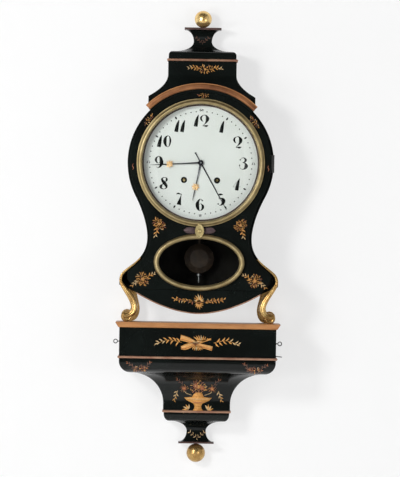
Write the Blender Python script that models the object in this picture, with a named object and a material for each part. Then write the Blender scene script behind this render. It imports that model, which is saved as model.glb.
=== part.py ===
"""Musical bracket clock: a waisted, lacquered clock standing on a wall bracket that holds its music work.

Frame: metres, +Z up, the front faces -Y, the wall is the plane Y = 0, and the origin lies on the back of the
bracket box at mid-height. Every moving piece has its own origin on the axis it turns or slides along.
"""

import math

import bmesh
import bpy
from mathutils import Vector

# Fits
SEAT = 0.0003  # gap between pieces that rest on each other
RUN = 0.0005  # radial play of an arbor in its hole
SWING = 0.0008  # gap round a leaf that swings in its frame

# Bracket
BOX_HALF = 0.1755
BOX_HEIGHT = 0.063
BOX_DEPTH = 0.180
BOX_WALL = 0.010
SHELF_HALF = 0.1845
SHELF_THICK = 0.0125
SHELF_COVE = 0.0075
MOULDING_HEIGHT = 0.0075
UPPER_MOULDING_HALF = 0.179
SHOULDER_RADIUS = 0.026
DROP_HALF = 0.0755
DROP_CONCAVE_HEIGHT = 0.070
DROP_STRAIGHT = 0.015
LOWER_MOULDING_HALF = 0.0776
PENDANT_HALF = 0.074
PENDANT_OVOLO = 0.017
PENDANT_FOOT_HALF = 0.062
NECK_HALF = 0.0216
NECK_ABOVE = 0.023
NECK_BELOW = 0.022
PLATE_HALF = 0.040
PLATE_THICK = 0.0065
BALL_RADIUS = 0.021
SIDE_DOOR_THICK = 0.008
PIVOT_RADIUS = 0.002
PIVOT_LENGTH = 0.005
EYE_RADIUS = 0.0053
EYE_WIRE = 0.0011
EYE_REACH = 0.0086
EYE_DEPTH = 0.140
LEVER_REACH = 0.0145
LEVER_THICK = 0.0025
LEVER_HEIGHT = -0.0285
LEVER_DEPTH = 0.120
LEVER_PIVOT_INSET = 0.018

# Music work in the bracket
CYLINDER_RADIUS = 0.0135
CYLINDER_HALF = 0.080
CYLINDER_DEPTH = 0.110
MUSIC_DRUM_RADIUS = 0.0155
MUSIC_DRUM_LENGTH = 0.034
MUSIC_PINION_DISTANCE = 0.0225
MUSIC_FLY_DISTANCE = 0.0190
MUSIC_PLATE = 0.003
MUSIC_WHEEL_THICK = 0.0022
MUSIC_ARBOR = 0.0018
FLY_VANE = 0.0095
FLY_VANE_THICK = 0.0012
BELL_ROD_DEPTH = 0.042
BELL_COUNT = 5
BELL_PITCH = 0.026
BELL_LARGE = 0.0175
BELL_SMALL = 0.0125
BELL_WALL = 0.0013
BELL_DEEP = 0.0115
RAIL_DEPTH = 0.078
RAIL_HEIGHT = -0.012

# Clock case
CLOCK_BACK = 0.006
BACK_THICK = 0.0077
CASE_FRONT = 0.140
CASE_WALL = 0.008
CASE_RADIUS = 0.164
CIRCLE_END = math.radians(-28)
WAIST_HALF = 0.117
WAIST_RISE = 0.0545  # above the middle of the oval
SHOULDER_HALF = 0.1665
SHOULDER_RISE = 0.023  # above the bulge
BULGE_HALF = 0.178
BULGE_RISE = 0.028  # above the bottom of the case
CASE_CORNER_HALF = 0.137
LEG_RISE = 0.065  # from the shelf to the bottom of the case
DOOR_THICK = 0.0177
DOOR_INSET = 0.0062
DOOR_FOOT_HALF = 0.1605
DOOR_RISE = 0.009  # above the bottom of the case
APRON_RISE = 0.020  # above the shelf
APRON_POWER = 1.85
SEAT_BOARD_DROP = 0.0865  # below the dial centre
SEAT_BOARD_THICK = 0.010
BELL_SLOT_HALF = 0.034

# Arch moulding and hood
ARCH_INSIDE = 0.0058  # edge of its black flange, inside the case's circle
ARCH_STEP = 0.0005  # foot of its gilt roll, outside the case's circle
ARCH_WIDTH = 0.0138  # width of the roll
ARCH_RETURN = 0.0065  # thickness of its returns along the case's sides
ARCH_END = math.radians(45.4)
ARCH_PROUD = 0.006
HOOD_DROP = 0.034  # below the crown of the case
HOOD_HEIGHT = 0.097
HOOD_EDGE = 0.018
HOOD_BASE_HALF = 0.120
HOOD_HALF = 0.077
HOOD_FLARE = 0.050
HOOD_WALL = 0.0075
HOOD_MOULDING_HALF = 0.080
HOOD_OVOLO_HALF = 0.074
HOOD_OVOLO = 0.015
HOOD_NECK_HALF = 0.0205
HOOD_NECK_BELOW = 0.025
HOOD_NECK_ABOVE = 0.024
HOOD_PLATE_HALF = 0.0415
HOOD_PLATE_THICK = 0.007
HOOD_BALL_RADIUS = 0.0194

# Glazed door
ROUND_MARGIN = 0.018  # between the bezel and the case's circle
ROUND_BORDER = 0.0168
OVAL_RISE = 0.0705  # above the bottom of the case
OVAL_INNER = (0.090, 0.052)
OVAL_BORDER = 0.0118
BEZEL_GAP = 0.0137
BEZEL_LAP = 0.0013
BEZEL_PROUD = 0.0115
GLASS_THICK = 0.0025
GLASS_RISE = 0.010
REBATE = 0.004
BOSS_HALF = (0.0108, 0.0163)
BOSS_THICK = 0.008
HINGE_INSIDE = 0.0018  # inside the case's circle
HINGE_KNUCKLE = 0.0026
HINGE_PIN = 0.0012
HINGE_LENGTH = 0.040
HINGE_MIDDLE = 0.016

# Dial and hands
DIAL_LAP = 0.0108  # beyond the bezel
DIAL_THICK = 0.003
DIAL_FACE = 0.1385
WINDING_HALF = 0.037
WINDING_DROP = 0.039
WINDING_HOLE = 0.0065
HAND_THICK = 0.0009
HAND_SPACE = 0.0012
HAND_BLOSSOM = 0.007
MINUTE_SHARE = 0.807  # share of the dial's radius
HOUR_SHARE = 0.618
ALARM_SHARE = 0.857
ALARM_TAIL = 0.026
MINUTE_ANGLE = math.radians(266.6)
HOUR_ANGLE = math.radians(191.4)
ALARM_ANGLE = math.radians(150.5)

# Movement
PLATE_THICKNESS = 0.003
FRONT_PLATE_FACE = 0.124
PLATES_APART = 0.047
PLATE_HALF_WIDTH = 0.086
PLATE_RISE = 0.078  # above the dial centre
PILLAR_RADIUS = 0.004
ARBOR = 0.0018
WHEEL_THICK = 0.0022
BARREL_RADIUS = 0.027
BARREL_LENGTH = 0.023
THIRD_AT = (0.014, 0.0242)
ESCAPE_AT = (0.0, 0.0407)
ANCHOR_RISE = 0.0275
ESCAPE_RADIUS = 0.017
ESCAPE_TEETH = 30
STRIKE_WHEEL_AT = (-0.0495, 0.00775)
STRIKE_FLY_AT = (-0.0404, 0.0273)
HAMMER_AT = (-0.030, 0.060)
MINUTE_WHEEL_AT = (-0.0136, -0.0136)
PENDULUM_DEPTH = 0.040
PENDULUM_BOB_RADIUS = 0.034
PENDULUM_BOB_RISE = 0.0085  # above the middle of the oval
RATING_LENGTH = 0.019
BELL_RADIUS = 0.033
BELL_AT = 0.024
BELL_DEPTH = 0.0513
BELL_CLEAR = 0.011  # of its mouth over the crown of the case

# Shares of the tooth pitch and module that give the pointed clock teeth
TOOTH_ROOT_SHARE = 0.30
TOOTH_TIP_MODULES = 0.75
TOOTH_ROOT_MODULES = 1.15
LARGEST_PINION = 12

ROUND_STEPS = 32
SADDLE_STEPS = 48
TURNED_STEPS = 14
BORE_STEPS = 12
BELL_NEST_STEPS = 10
WINDING_STEPS = 8
ARBOR_STEPS = 6

# Colour, metallic and roughness of each finish
FINISHES = {
    "black_lacquer": ((0.012, 0.014, 0.012), 0.0, 0.18),
    "gilt_wood": ((0.72, 0.44, 0.12), 0.85, 0.32),
    "copper_gilt": ((0.68, 0.34, 0.13), 0.80, 0.36),
    "brass": ((0.62, 0.48, 0.24), 1.0, 0.28),
    "steel": ((0.36, 0.37, 0.38), 1.0, 0.30),
    "blued_steel": ((0.03, 0.03, 0.04), 0.9, 0.30),
    "iron": ((0.07, 0.07, 0.07), 0.9, 0.50),
    "bell_metal": ((0.66, 0.60, 0.42), 1.0, 0.25),
    "enamel": ((0.86, 0.87, 0.82), 0.0, 0.15),
    "glass": ((0.95, 0.97, 0.96), 0.0, 0.05),
    "softwood": ((0.30, 0.19, 0.10), 0.0, 0.60),
}


def make_material(name, finish):
    """One Principled material from a named finish."""
    colour, metallic, roughness = FINISHES[finish]
    material = bpy.data.materials.new(name)
    material.use_nodes = True
    shader = material.node_tree.nodes["Principled BSDF"]
    shader.inputs["Base Color"].default_value = (*colour, 1.0)
    shader.inputs["Metallic"].default_value = metallic
    shader.inputs["Roughness"].default_value = roughness
    return material


def place(axis, u, v, along):
    """A point from two plane coordinates and a place along an axis: X takes (y, z), Y (x, z), Z (x, y)."""
    if axis == "X":
        return Vector((along, u, v))
    if axis == "Y":
        return Vector((u, along, v))
    return Vector((u, v, along))


def circle(centre, radius, steps, phase=0.0):
    """Points of a circle in a plane."""
    turns = [phase + math.tau * step / steps for step in range(steps)]
    return [(centre[0] + radius * math.cos(turn), centre[1] + radius * math.sin(turn)) for turn in turns]


def ellipse(centre, half_width, half_height, steps):
    """Points of an ellipse in a plane."""
    return [(centre[0] + half_width * u, centre[1] + half_height * v) for u, v in circle((0, 0), 1, steps)]


def arc(centre, radius, start, end, steps):
    """Points of an arc, both ends included."""
    turns = [start + (end - start) * step / steps for step in range(steps + 1)]
    return [(centre[0] + radius * math.cos(turn), centre[1] + radius * math.sin(turn)) for turn in turns]


def bezier(first, second, third, fourth, steps):
    """Points of a cubic curve, both ends included."""
    points = []
    for step in range(steps + 1):
        t = step / steps
        weights = ((1 - t) ** 3, 3 * t * (1 - t) ** 2, 3 * t**2 * (1 - t), t**3)
        corners = (first, second, third, fourth)
        points.append(tuple(sum(w * c[i] for w, c in zip(weights, corners)) for i in range(2)))
    return points


def mirrored(right_side):
    """A closed outline from its right half, whose ends may lie on the centre line."""
    left_side = [(-x, z) for x, z in reversed(right_side) if abs(x) > SEAT]
    return right_side + left_side


def inset(outline, distance):
    """The outline moved inwards by a distance, whichever way round it runs."""
    count = len(outline)
    doubled_area = sum(
        outline[i - 1][0] * outline[i][1] - outline[i][0] * outline[i - 1][1] for i in range(count)
    )
    side = math.copysign(distance, doubled_area)
    moved = []
    for i in range(count):
        before = Vector(outline[i]) - Vector(outline[i - 1])
        after = Vector(outline[(i + 1) % count]) - Vector(outline[i])
        before.normalize()
        after.normalize()
        normal = Vector((-before.y - after.y, before.x + after.x))
        normal.normalize()
        cosine = normal.dot(Vector((-after.y, after.x)))
        moved.append(tuple(Vector(outline[i]) + normal * side / max(cosine, 0.4)))
    return moved


def prism(outline, axis, start, end):
    """Two loops that carry an outline along an axis."""
    return [[place(axis, u, v, along) for u, v in outline] for along in (start, end)]


def frame_loops(outer, inner, axis, start, end):
    """Four loops of a wall between two outlines with as many points each."""
    outer_loops = prism(outer, axis, start, end)
    inner_loops = prism(inner, axis, end, start)
    return outer_loops + inner_loops


def turned(profile, axis, centre, steps):
    """Loops of a turned form: the profile gives (radius, place along the axis)."""
    return [[place(axis, u, v, along) for u, v in circle(centre, radius, steps)] for radius, along in profile]


def box_loops(low, high):
    """Two loops of a box between two corners."""
    corners = [(low[0], low[1]), (high[0], low[1]), (high[0], high[1]), (low[0], high[1])]
    return prism(corners, "Z", low[2], high[2])


def square_stack(levels, back, margin):
    """Loops of a mitred form with a flat back: each level gives its height and half-width."""
    loops = []
    for height, half in levels:
        front = back - half - margin
        corners = ((-half, front), (half, front), (half, back), (-half, back))
        loops.append([Vector((x, y, height)) for x, y in corners])
    return loops


def make_object(name, loops, closed=False, origin=(0, 0, 0)):
    """One mesh skinned over loops of points. A closed skin joins its last loop to its first, without caps."""
    shape = bmesh.new()
    rings = [[shape.verts.new(point - Vector(origin)) for point in loop] for loop in loops]
    pairs = list(zip(rings, rings[1:]))
    if closed:
        pairs.append((rings[-1], rings[0]))
    else:
        shape.faces.new(rings[0])
        shape.faces.new(rings[-1])
    for near, far in pairs:
        for i in range(len(near)):
            shape.faces.new((near[i - 1], near[i], far[i], far[i - 1]))
    bmesh.ops.recalc_face_normals(shape, faces=shape.faces)
    mesh = bpy.data.meshes.new(name)
    shape.to_mesh(mesh)
    shape.free()
    made = bpy.data.objects.new(name, mesh)
    made.location = origin
    bpy.context.scene.collection.objects.link(made)
    return made


def piece(name, finish, loops, closed=False, origin=(0, 0, 0)):
    """A named sub-part with its own material, its origin where it turns or slides."""
    made = make_object(name, loops, closed, origin)
    made.data.materials.append(make_material(name + "_" + finish, finish))
    made.data.shade_smooth()
    made.data.set_sharp_from_angle(angle=math.radians(32))
    return made


def combine(target, loops, operation, closed=False):
    """Joins a helper shape to a piece, or cuts it out."""
    helper = make_object(target.name + "_helper", loops, closed)
    helper.hide_render = True
    helper.display_type = "WIRE"
    modifier = target.modifiers.new(operation.lower(), "BOOLEAN")
    modifier.operation = operation
    modifier.solver = "EXACT"
    modifier.object = helper
    return target


def join(target, loops, closed=False):
    """Fuses a helper shape with a piece."""
    return combine(target, loops, "UNION", closed)


def cut(target, loops, closed=False):
    """Takes a helper shape out of a piece."""
    return combine(target, loops, "DIFFERENCE", closed)


def rod(axis, centre, radius, start, end, steps=ARBOR_STEPS):
    """Loops of a round rod or hole along an axis."""
    return turned([(radius, start), (radius, end)], axis, centre, steps)


def gear_outline(centre, teeth, module, first_tooth):
    """Outline of a wheel with pointed teeth, one of them centred on the given angle."""
    pitch = math.tau / teeth
    root = module * (teeth / 2 - TOOTH_ROOT_MODULES)
    tip = module * (teeth / 2 + TOOTH_TIP_MODULES)
    tooth_shape = [(0.0, tip), (0.5, root)]
    if teeth <= LARGEST_PINION:
        tooth_shape = [(-TOOTH_ROOT_SHARE, root), (0.0, tip), (TOOTH_ROOT_SHARE, root)]
    outline = []
    for tooth in range(teeth):
        middle = first_tooth + tooth * pitch
        for turn, radius in tooth_shape:
            angle = middle + turn * pitch
            outline.append((centre[0] + radius * math.cos(angle), centre[1] + radius * math.sin(angle)))
    return outline


def gear_pair(driver_at, driver_teeth, driven_at, driven_teeth):
    """Outlines of two wheels in mesh: the module follows from the distance between their arbors."""
    across = Vector(driven_at) - Vector(driver_at)
    module = 2 * across.length / (driver_teeth + driven_teeth)
    angle = math.atan2(across.y, across.x)
    half_pitch = math.pi / driven_teeth
    driver = gear_outline(driver_at, driver_teeth, module, angle)
    driven = gear_outline(driven_at, driven_teeth, module, angle + math.pi + half_pitch)
    return driver, driven


def ball_profile(radius, centre, steps=8):
    """Turned profile of a ball with small flats at its poles."""
    turns = [math.pi * (0.5 + step) / (steps + 1) for step in range(steps + 1)]
    stretch = radius / math.cos(turns[0])
    return [(radius * math.sin(turn), centre - stretch * math.cos(turn)) for turn in turns]


def cove_levels(wide, narrow, start, height, steps):
    """Levels that draw in from wide to narrow along a hollow quarter curve."""
    turns = [math.pi / 2 * step / steps for step in range(steps + 1)]
    return [(start + height * (1 - math.cos(t)), wide - (wide - narrow) * math.sin(t)) for t in turns]


def flare_levels(narrow, wide, start, height, steps):
    """Levels that open from narrow to wide along a hollow quarter curve."""
    turns = [math.pi / 2 * step / steps for step in range(steps + 1)]
    return [(start + height * math.sin(t), narrow + (wide - narrow) * (1 - math.cos(t))) for t in turns]


# Heights and places that follow from the driving sizes
BOX_TOP = BOX_HEIGHT / 2
SHELF_TOP = BOX_TOP + SHELF_THICK
BOX_INNER = BOX_TOP - BOX_WALL
BRACKET_MARGIN = BOX_DEPTH - BOX_HALF
SIDE_DOOR_X = BOX_HALF - SIDE_DOOR_THICK / 2
SIDE_DOOR_AXIS_Y = -(BOX_WALL + SWING + SIDE_DOOR_THICK / 2)
LEVER_X = BOX_HALF - LEVER_PIVOT_INSET
DROP_TOP = -BOX_TOP - MOULDING_HEIGHT - SEAT


def moulding_levels(top, height, half, round_over=0.002):
    """Levels of a small moulding with eased edges, from the top down."""
    return [
        (top, half - round_over),
        (top - round_over, half),
        (top - height + round_over, half),
        (top - height, half - round_over),
    ]


def drop_levels():
    """Levels of the ogee drop: a rounded shoulder, a hollow and a short straight foot."""
    shoulder = DROP_TOP - 0.15 * SHOULDER_RADIUS
    turns = [math.pi / 2 * step / 5 for step in range(6)]
    levels = [(DROP_TOP, BOX_HALF)]
    for turn in turns:
        half = BOX_HALF - SHOULDER_RADIUS * (1 - math.cos(turn))
        levels.append((shoulder - SHOULDER_RADIUS * math.sin(turn), half))
    hollow_top, wide = levels[-1]
    levels += cove_levels(wide, DROP_HALF, hollow_top, -DROP_CONCAVE_HEIGHT, 8)[1:]
    levels.append((levels[-1][0] - DROP_STRAIGHT, DROP_HALF))
    return levels


def pendant_levels(top):
    """Levels of the pendant: an ovolo, a hollow neck and a square plate."""
    turns = [math.pi / 2 * step / 4 for step in range(5)]
    spread = PENDANT_HALF - PENDANT_FOOT_HALF
    levels = [(top - PENDANT_OVOLO * math.sin(t), PENDANT_FOOT_HALF + spread * math.cos(t)) for t in turns]
    foot = levels[-1][0]
    levels += cove_levels(PENDANT_FOOT_HALF - 0.002, NECK_HALF, foot - SEAT, -NECK_ABOVE, 6)
    neck = levels[-1][0]
    levels += flare_levels(NECK_HALF, PLATE_HALF - 0.004, neck, -NECK_BELOW, 5)[1:]
    plate = levels[-1][0]
    return levels + [(plate - SEAT, PLATE_HALF), (plate - PLATE_THICK, PLATE_HALF)]


def make_bracket():
    """Shelf, box, mouldings, ogee drop, pendant and ball, stacked from the top down."""
    outer = [(0.0, -BOX_TOP), (-BOX_DEPTH, -BOX_TOP), (-BOX_DEPTH, BOX_TOP), (0.0, BOX_TOP)]
    box = piece(
        "bracket_box",
        "black_lacquer",
        frame_loops(outer, inset(outer, BOX_WALL), "X", -BOX_HALF, BOX_HALF),
        closed=True,
    )
    cut_box_fittings(box)
    shelf_low = SHELF_HALF - SHELF_COVE
    shelf = flare_levels(shelf_low, SHELF_HALF - 0.001, BOX_TOP + SEAT, SHELF_COVE, 4)
    shelf += [(shelf[-1][0] + SEAT, SHELF_HALF), (SHELF_TOP, SHELF_HALF)]
    piece("bracket_shelf", "gilt_wood", square_stack(shelf, 0.0, BRACKET_MARGIN))
    upper = moulding_levels(-BOX_TOP - SEAT, MOULDING_HEIGHT - SEAT, UPPER_MOULDING_HALF)
    piece("bracket_upper_moulding", "copper_gilt", square_stack(upper, 0.0, BRACKET_MARGIN))
    drop = drop_levels()
    piece("bracket_drop", "black_lacquer", square_stack(drop, 0.0, BRACKET_MARGIN))
    lower = moulding_levels(drop[-1][0] - SEAT, MOULDING_HEIGHT - SEAT, LOWER_MOULDING_HALF)
    piece("bracket_lower_moulding", "copper_gilt", square_stack(lower, 0.0, BRACKET_MARGIN))
    pendant = pendant_levels(lower[-1][0] - SEAT)
    piece("bracket_pendant", "black_lacquer", square_stack(pendant, 0.0, BRACKET_MARGIN))
    ball_at = (0.0, -(PLATE_HALF + BRACKET_MARGIN) / 2)
    ball = ball_profile(BALL_RADIUS, pendant[-1][0] - SEAT - BALL_RADIUS)
    piece("bracket_ball", "gilt_wood", turned(ball, "Z", ball_at, TURNED_STEPS))


def cut_box_fittings(box):
    """Pivot holes of the side doors and the slot and pin hole of the music lever."""
    for side in (-1, 1):
        for end in (-1, 1):
            hole = rod(
                "Z",
                (side * SIDE_DOOR_X, SIDE_DOOR_AXIS_Y),
                PIVOT_RADIUS + RUN,
                end * (BOX_INNER - SWING),
                end * (BOX_INNER + PIVOT_LENGTH + SWING),
            )
            cut(box, hole)
    slot_half = LEVER_THICK / 2 + RUN
    low = (LEVER_X - 0.006, -LEVER_DEPTH - 0.009, LEVER_HEIGHT - slot_half)
    high = (BOX_HALF + 0.010, -LEVER_DEPTH + 0.009, LEVER_HEIGHT + slot_half)
    cut(box, box_loops(low, high))
    pin_end = LEVER_HEIGHT + LEVER_THICK + PIVOT_RADIUS
    cut(box, rod("Z", (LEVER_X, -LEVER_DEPTH), PIVOT_RADIUS / 2 + RUN, LEVER_HEIGHT, pin_end + RUN))


def make_side_door(side, word):
    """A leaf that closes one end of the bracket box, with pivot pins at its back edge and a screw-eye."""
    radius = SIDE_DOOR_THICK / 2
    x = side * SIDE_DOOR_X
    front = -(BOX_DEPTH - BOX_WALL - SWING)
    outline = arc((x, SIDE_DOOR_AXIS_Y), radius, 0.0, math.pi, 8)
    outline += [(x - radius, front), (x + radius, front)]
    top = BOX_INNER - SWING
    axis = (x, SIDE_DOOR_AXIS_Y, 0.0)
    door = piece("side_door_" + word, "black_lacquer", prism(outline, "Z", -top, top), origin=axis)
    for end in (-1, 1):
        tip = end * (BOX_INNER + PIVOT_LENGTH)
        join(door, rod("Z", (x, SIDE_DOOR_AXIS_Y), PIVOT_RADIUS, end * (top - radius), tip))
    face = side * BOX_HALF
    shank = side * SIDE_DOOR_THICK * 0.7
    cut(door, rod("X", (-EYE_DEPTH, 0.0), EYE_WIRE + SEAT, face - shank - side * SEAT, face + side * RUN))
    ring_x = face + side * EYE_REACH
    bend = EYE_RADIUS - EYE_WIRE
    ring = []
    for u, v in circle((0, 0), 1, BORE_STEPS):
        wire = [(bend + EYE_WIRE * a, EYE_WIRE * b) for a, b in circle((0, 0), 1, 5)]
        ring.append([Vector((ring_x + r * u, -EYE_DEPTH + y, r * v)) for r, y in wire])
    eye = piece("screw_eye_" + word, "iron", ring, closed=True, origin=axis)
    join(eye, rod("X", (-EYE_DEPTH, 0.0), EYE_WIRE, face - shank, ring_x - side * bend))
    collar = turned(
        [(EYE_WIRE * 2.2, face + side * SEAT), (EYE_WIRE * 1.6, face + side * EYE_WIRE * 1.4)],
        "X",
        (-EYE_DEPTH, 0.0),
        ARBOR_STEPS,
    )
    join(eye, collar)


def make_music_lever():
    """The start and stop lever: a tapered steel arm on an upright pin in its slot."""
    tip = BOX_HALF + LEVER_REACH
    loops = []
    for x, half_width, drop in ((LEVER_X, 0.0022, 0.0), (BOX_HALF, 0.0018, 0.0), (tip, 0.0011, 0.0012)):
        low = LEVER_HEIGHT - LEVER_THICK / 2 - drop
        high = LEVER_HEIGHT + LEVER_THICK / 2 - drop * 1.5
        loops.append(
            [
                Vector((x, -LEVER_DEPTH + u * half_width, z))
                for u, z in ((-1, low), (1, low), (1, high), (-1, high))
            ]
        )
    axis = (LEVER_X, -LEVER_DEPTH, LEVER_HEIGHT)
    lever = piece("music_lever", "steel", loops, origin=axis)
    half = LEVER_THICK / 2
    eye = rod("Z", axis[:2], 0.0036, LEVER_HEIGHT - half, LEVER_HEIGHT + half, 14)
    join(lever, eye)
    join(lever, rod("Z", axis[:2], PIVOT_RADIUS / 2, LEVER_HEIGHT, LEVER_HEIGHT + LEVER_THICK + PIVOT_RADIUS))


# Places along X and in the (y, z) plane of the music work
MUSIC_LEFT = -CYLINDER_HALF * 2 + 0.035
MUSIC_RIGHT = MUSIC_LEFT + 2 * CYLINDER_HALF + 0.072
CYLINDER_LEFT = MUSIC_LEFT + 0.030
CYLINDER_RIGHT = CYLINDER_LEFT + 2 * CYLINDER_HALF
MUSIC_FLOOR = -BOX_INNER + SEAT
MUSIC_TOP = BOX_INNER - 0.0025
CYLINDER_AT = (-CYLINDER_DEPTH, 0.0)
MUSIC_BARREL_AT = (-CYLINDER_DEPTH + MUSIC_PINION_DISTANCE, 0.0)
MUSIC_FLY_AT = (-CYLINDER_DEPTH - MUSIC_FLY_DISTANCE, 0.0)
BELL_ROD_AT = (-BELL_ROD_DEPTH, 0.0)
RAIL_AT = (-RAIL_DEPTH, RAIL_HEIGHT)
MUSIC_WHEEL_X = CYLINDER_LEFT - MUSIC_WHEEL_THICK - 0.0012
MUSIC_GREAT_X = CYLINDER_RIGHT + 0.0025
POST_X = CYLINDER_RIGHT - 0.0045
COCK_X = CYLINDER_LEFT + 0.0015


def make_music_frame():
    """Bedplate with two end plates, two posts and the hammer rail, all of brass."""
    front = -CYLINDER_DEPTH - MUSIC_FLY_DISTANCE - 0.010
    back = -BELL_ROD_DEPTH + 0.008
    bed = box_loops((MUSIC_LEFT, front, MUSIC_FLOOR), (MUSIC_RIGHT, back, MUSIC_FLOOR + MUSIC_PLATE))
    frame = piece("music_frame", "brass", bed)
    for left in (MUSIC_LEFT, MUSIC_RIGHT - MUSIC_PLATE):
        join(frame, box_loops((left, front, MUSIC_FLOOR + 0.001), (left + MUSIC_PLATE, back, MUSIC_TOP)))
    barrel_y = MUSIC_BARREL_AT[0]
    post_low = (POST_X, barrel_y - 0.004, MUSIC_FLOOR + 0.001)
    join(frame, box_loops(post_low, (POST_X + MUSIC_PLATE, -RAIL_DEPTH + 0.004, 0.005)))
    fly_y = MUSIC_FLY_AT[0]
    cock_low = (COCK_X, fly_y - 0.004, MUSIC_FLOOR + 0.001)
    join(frame, box_loops(cock_low, (COCK_X + MUSIC_PLATE, fly_y + 0.004, 0.005)))
    join(frame, rod("X", RAIL_AT, MUSIC_ARBOR, MUSIC_LEFT + 0.001, POST_X + 0.001))
    hole = MUSIC_ARBOR + RUN
    for at, holes in (
        (CYLINDER_AT, (MUSIC_LEFT, MUSIC_RIGHT - MUSIC_PLATE)),
        (MUSIC_BARREL_AT, (POST_X, MUSIC_RIGHT - MUSIC_PLATE)),
        (MUSIC_FLY_AT, (MUSIC_LEFT, COCK_X)),
        (BELL_ROD_AT, (MUSIC_LEFT, MUSIC_RIGHT - MUSIC_PLATE)),
    ):
        for left in holes:
            cut(frame, rod("X", at, hole, left - 0.001, left + MUSIC_PLATE + 0.001))


def make_music_train():
    """Spring barrel, pinned cylinder and fly, in mesh."""
    great, cylinder_pinion = gear_pair(MUSIC_BARREL_AT, 30, CYLINDER_AT, 10)
    wheel, fly_pinion = gear_pair(CYLINDER_AT, 36, MUSIC_FLY_AT, 6)
    right = MUSIC_RIGHT - 0.0005
    left = MUSIC_LEFT + 0.0005

    drum_end = MUSIC_GREAT_X + MUSIC_WHEEL_THICK + MUSIC_DRUM_LENGTH
    barrel = piece(
        "music_barrel",
        "brass",
        rod("X", MUSIC_BARREL_AT, MUSIC_DRUM_RADIUS, MUSIC_GREAT_X + 0.001, drum_end, TURNED_STEPS),
        origin=(0.0, *MUSIC_BARREL_AT),
    )
    join(barrel, prism(great, "X", MUSIC_GREAT_X, MUSIC_GREAT_X + MUSIC_WHEEL_THICK))
    join(barrel, rod("X", MUSIC_BARREL_AT, MUSIC_ARBOR, POST_X + 0.0005, right))

    cylinder = piece(
        "music_cylinder",
        "brass",
        rod("X", CYLINDER_AT, CYLINDER_RADIUS, CYLINDER_LEFT, CYLINDER_RIGHT, TURNED_STEPS),
        origin=(0.0, *CYLINDER_AT),
    )
    join(cylinder, rod("X", CYLINDER_AT, MUSIC_ARBOR, left, right))
    join(cylinder, prism(wheel, "X", MUSIC_WHEEL_X, MUSIC_WHEEL_X + MUSIC_WHEEL_THICK))
    pinion_x = MUSIC_GREAT_X - 0.0015
    join(cylinder, prism(cylinder_pinion, "X", pinion_x, MUSIC_GREAT_X + MUSIC_WHEEL_THICK + 0.0015))

    vane_right = MUSIC_WHEEL_X - 0.004
    vane = box_loops(
        (left + MUSIC_PLATE + 0.001, MUSIC_FLY_AT[0] - FLY_VANE, -FLY_VANE_THICK / 2),
        (vane_right, MUSIC_FLY_AT[0] + FLY_VANE, FLY_VANE_THICK / 2),
    )
    fly = piece("music_fly", "brass", vane, origin=(0.0, *MUSIC_FLY_AT))
    join(fly, rod("X", MUSIC_FLY_AT, MUSIC_ARBOR, left, COCK_X + MUSIC_PLATE - 0.0005))
    join(fly, prism(fly_pinion, "X", MUSIC_WHEEL_X - 0.0015, MUSIC_WHEEL_X + MUSIC_WHEEL_THICK + 0.0015))


def bell_x(index):
    """Where the crown of one music bell stands on its rod."""
    return CYLINDER_LEFT + 0.004 + index * BELL_PITCH


def bell_size(index):
    """Mouth radius of one music bell, the largest at the left."""
    return BELL_LARGE - (BELL_LARGE - BELL_SMALL) * index / (BELL_COUNT - 1)


def make_bell_nest():
    """Cup bells threaded on one rod, turned in a single profile."""
    depth = BELL_DEEP
    profile = [(MUSIC_ARBOR, MUSIC_LEFT + 0.0005)]
    for index in range(BELL_COUNT):
        crown = bell_x(index)
        mouth = bell_size(index)
        profile += [
            (MUSIC_ARBOR, crown),
            (mouth * 0.72, crown + depth * 0.25),
            (mouth, crown + depth),
            (mouth - BELL_WALL, crown + depth),
            (MUSIC_ARBOR, crown + 2 * BELL_WALL),
        ]
    profile.append((MUSIC_ARBOR, MUSIC_RIGHT - 0.0005))
    piece("bell_nest", "bell_metal", turned(profile, "X", BELL_ROD_AT, BELL_NEST_STEPS))


def make_music_hammer(index, word):
    """One hammer on the rail: a hub, an arm up to its bell and a tail towards the cylinder pins."""
    x = bell_x(index) + BELL_DEEP - 0.002
    head_radius = 0.0028
    head_at = (BELL_ROD_AT[0] - bell_size(index) - head_radius - 0.0012, 0.0)
    tail_at = (RAIL_AT[0] - 0.0150, RAIL_AT[1] + 0.0072)
    hub = 0.0034
    width = 0.002
    hammer = piece(
        "hammer_" + word,
        "steel",
        frame_loops(
            circle(RAIL_AT, hub, 12), circle(RAIL_AT, MUSIC_ARBOR + RUN, 12), "X", x - width, x + width
        ),
        closed=True,
        origin=(x, *RAIL_AT),
    )
    for end, thickness in ((head_at, 0.0009), (tail_at, 0.0008)):
        along = (Vector(end) - Vector(RAIL_AT)).normalized()
        across = Vector((-along.y, along.x)) * thickness
        start = Vector(RAIL_AT) + along * (hub - 0.0006)
        tip = Vector(end)
        bar = [tuple(point) for point in (start + across, start - across, tip - across, tip + across)]
        join(hammer, prism(bar, "X", x - width / 2, x + width / 2))
    join(hammer, rod("X", head_at, head_radius, x - width * 0.9, x + width * 0.9))


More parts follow.
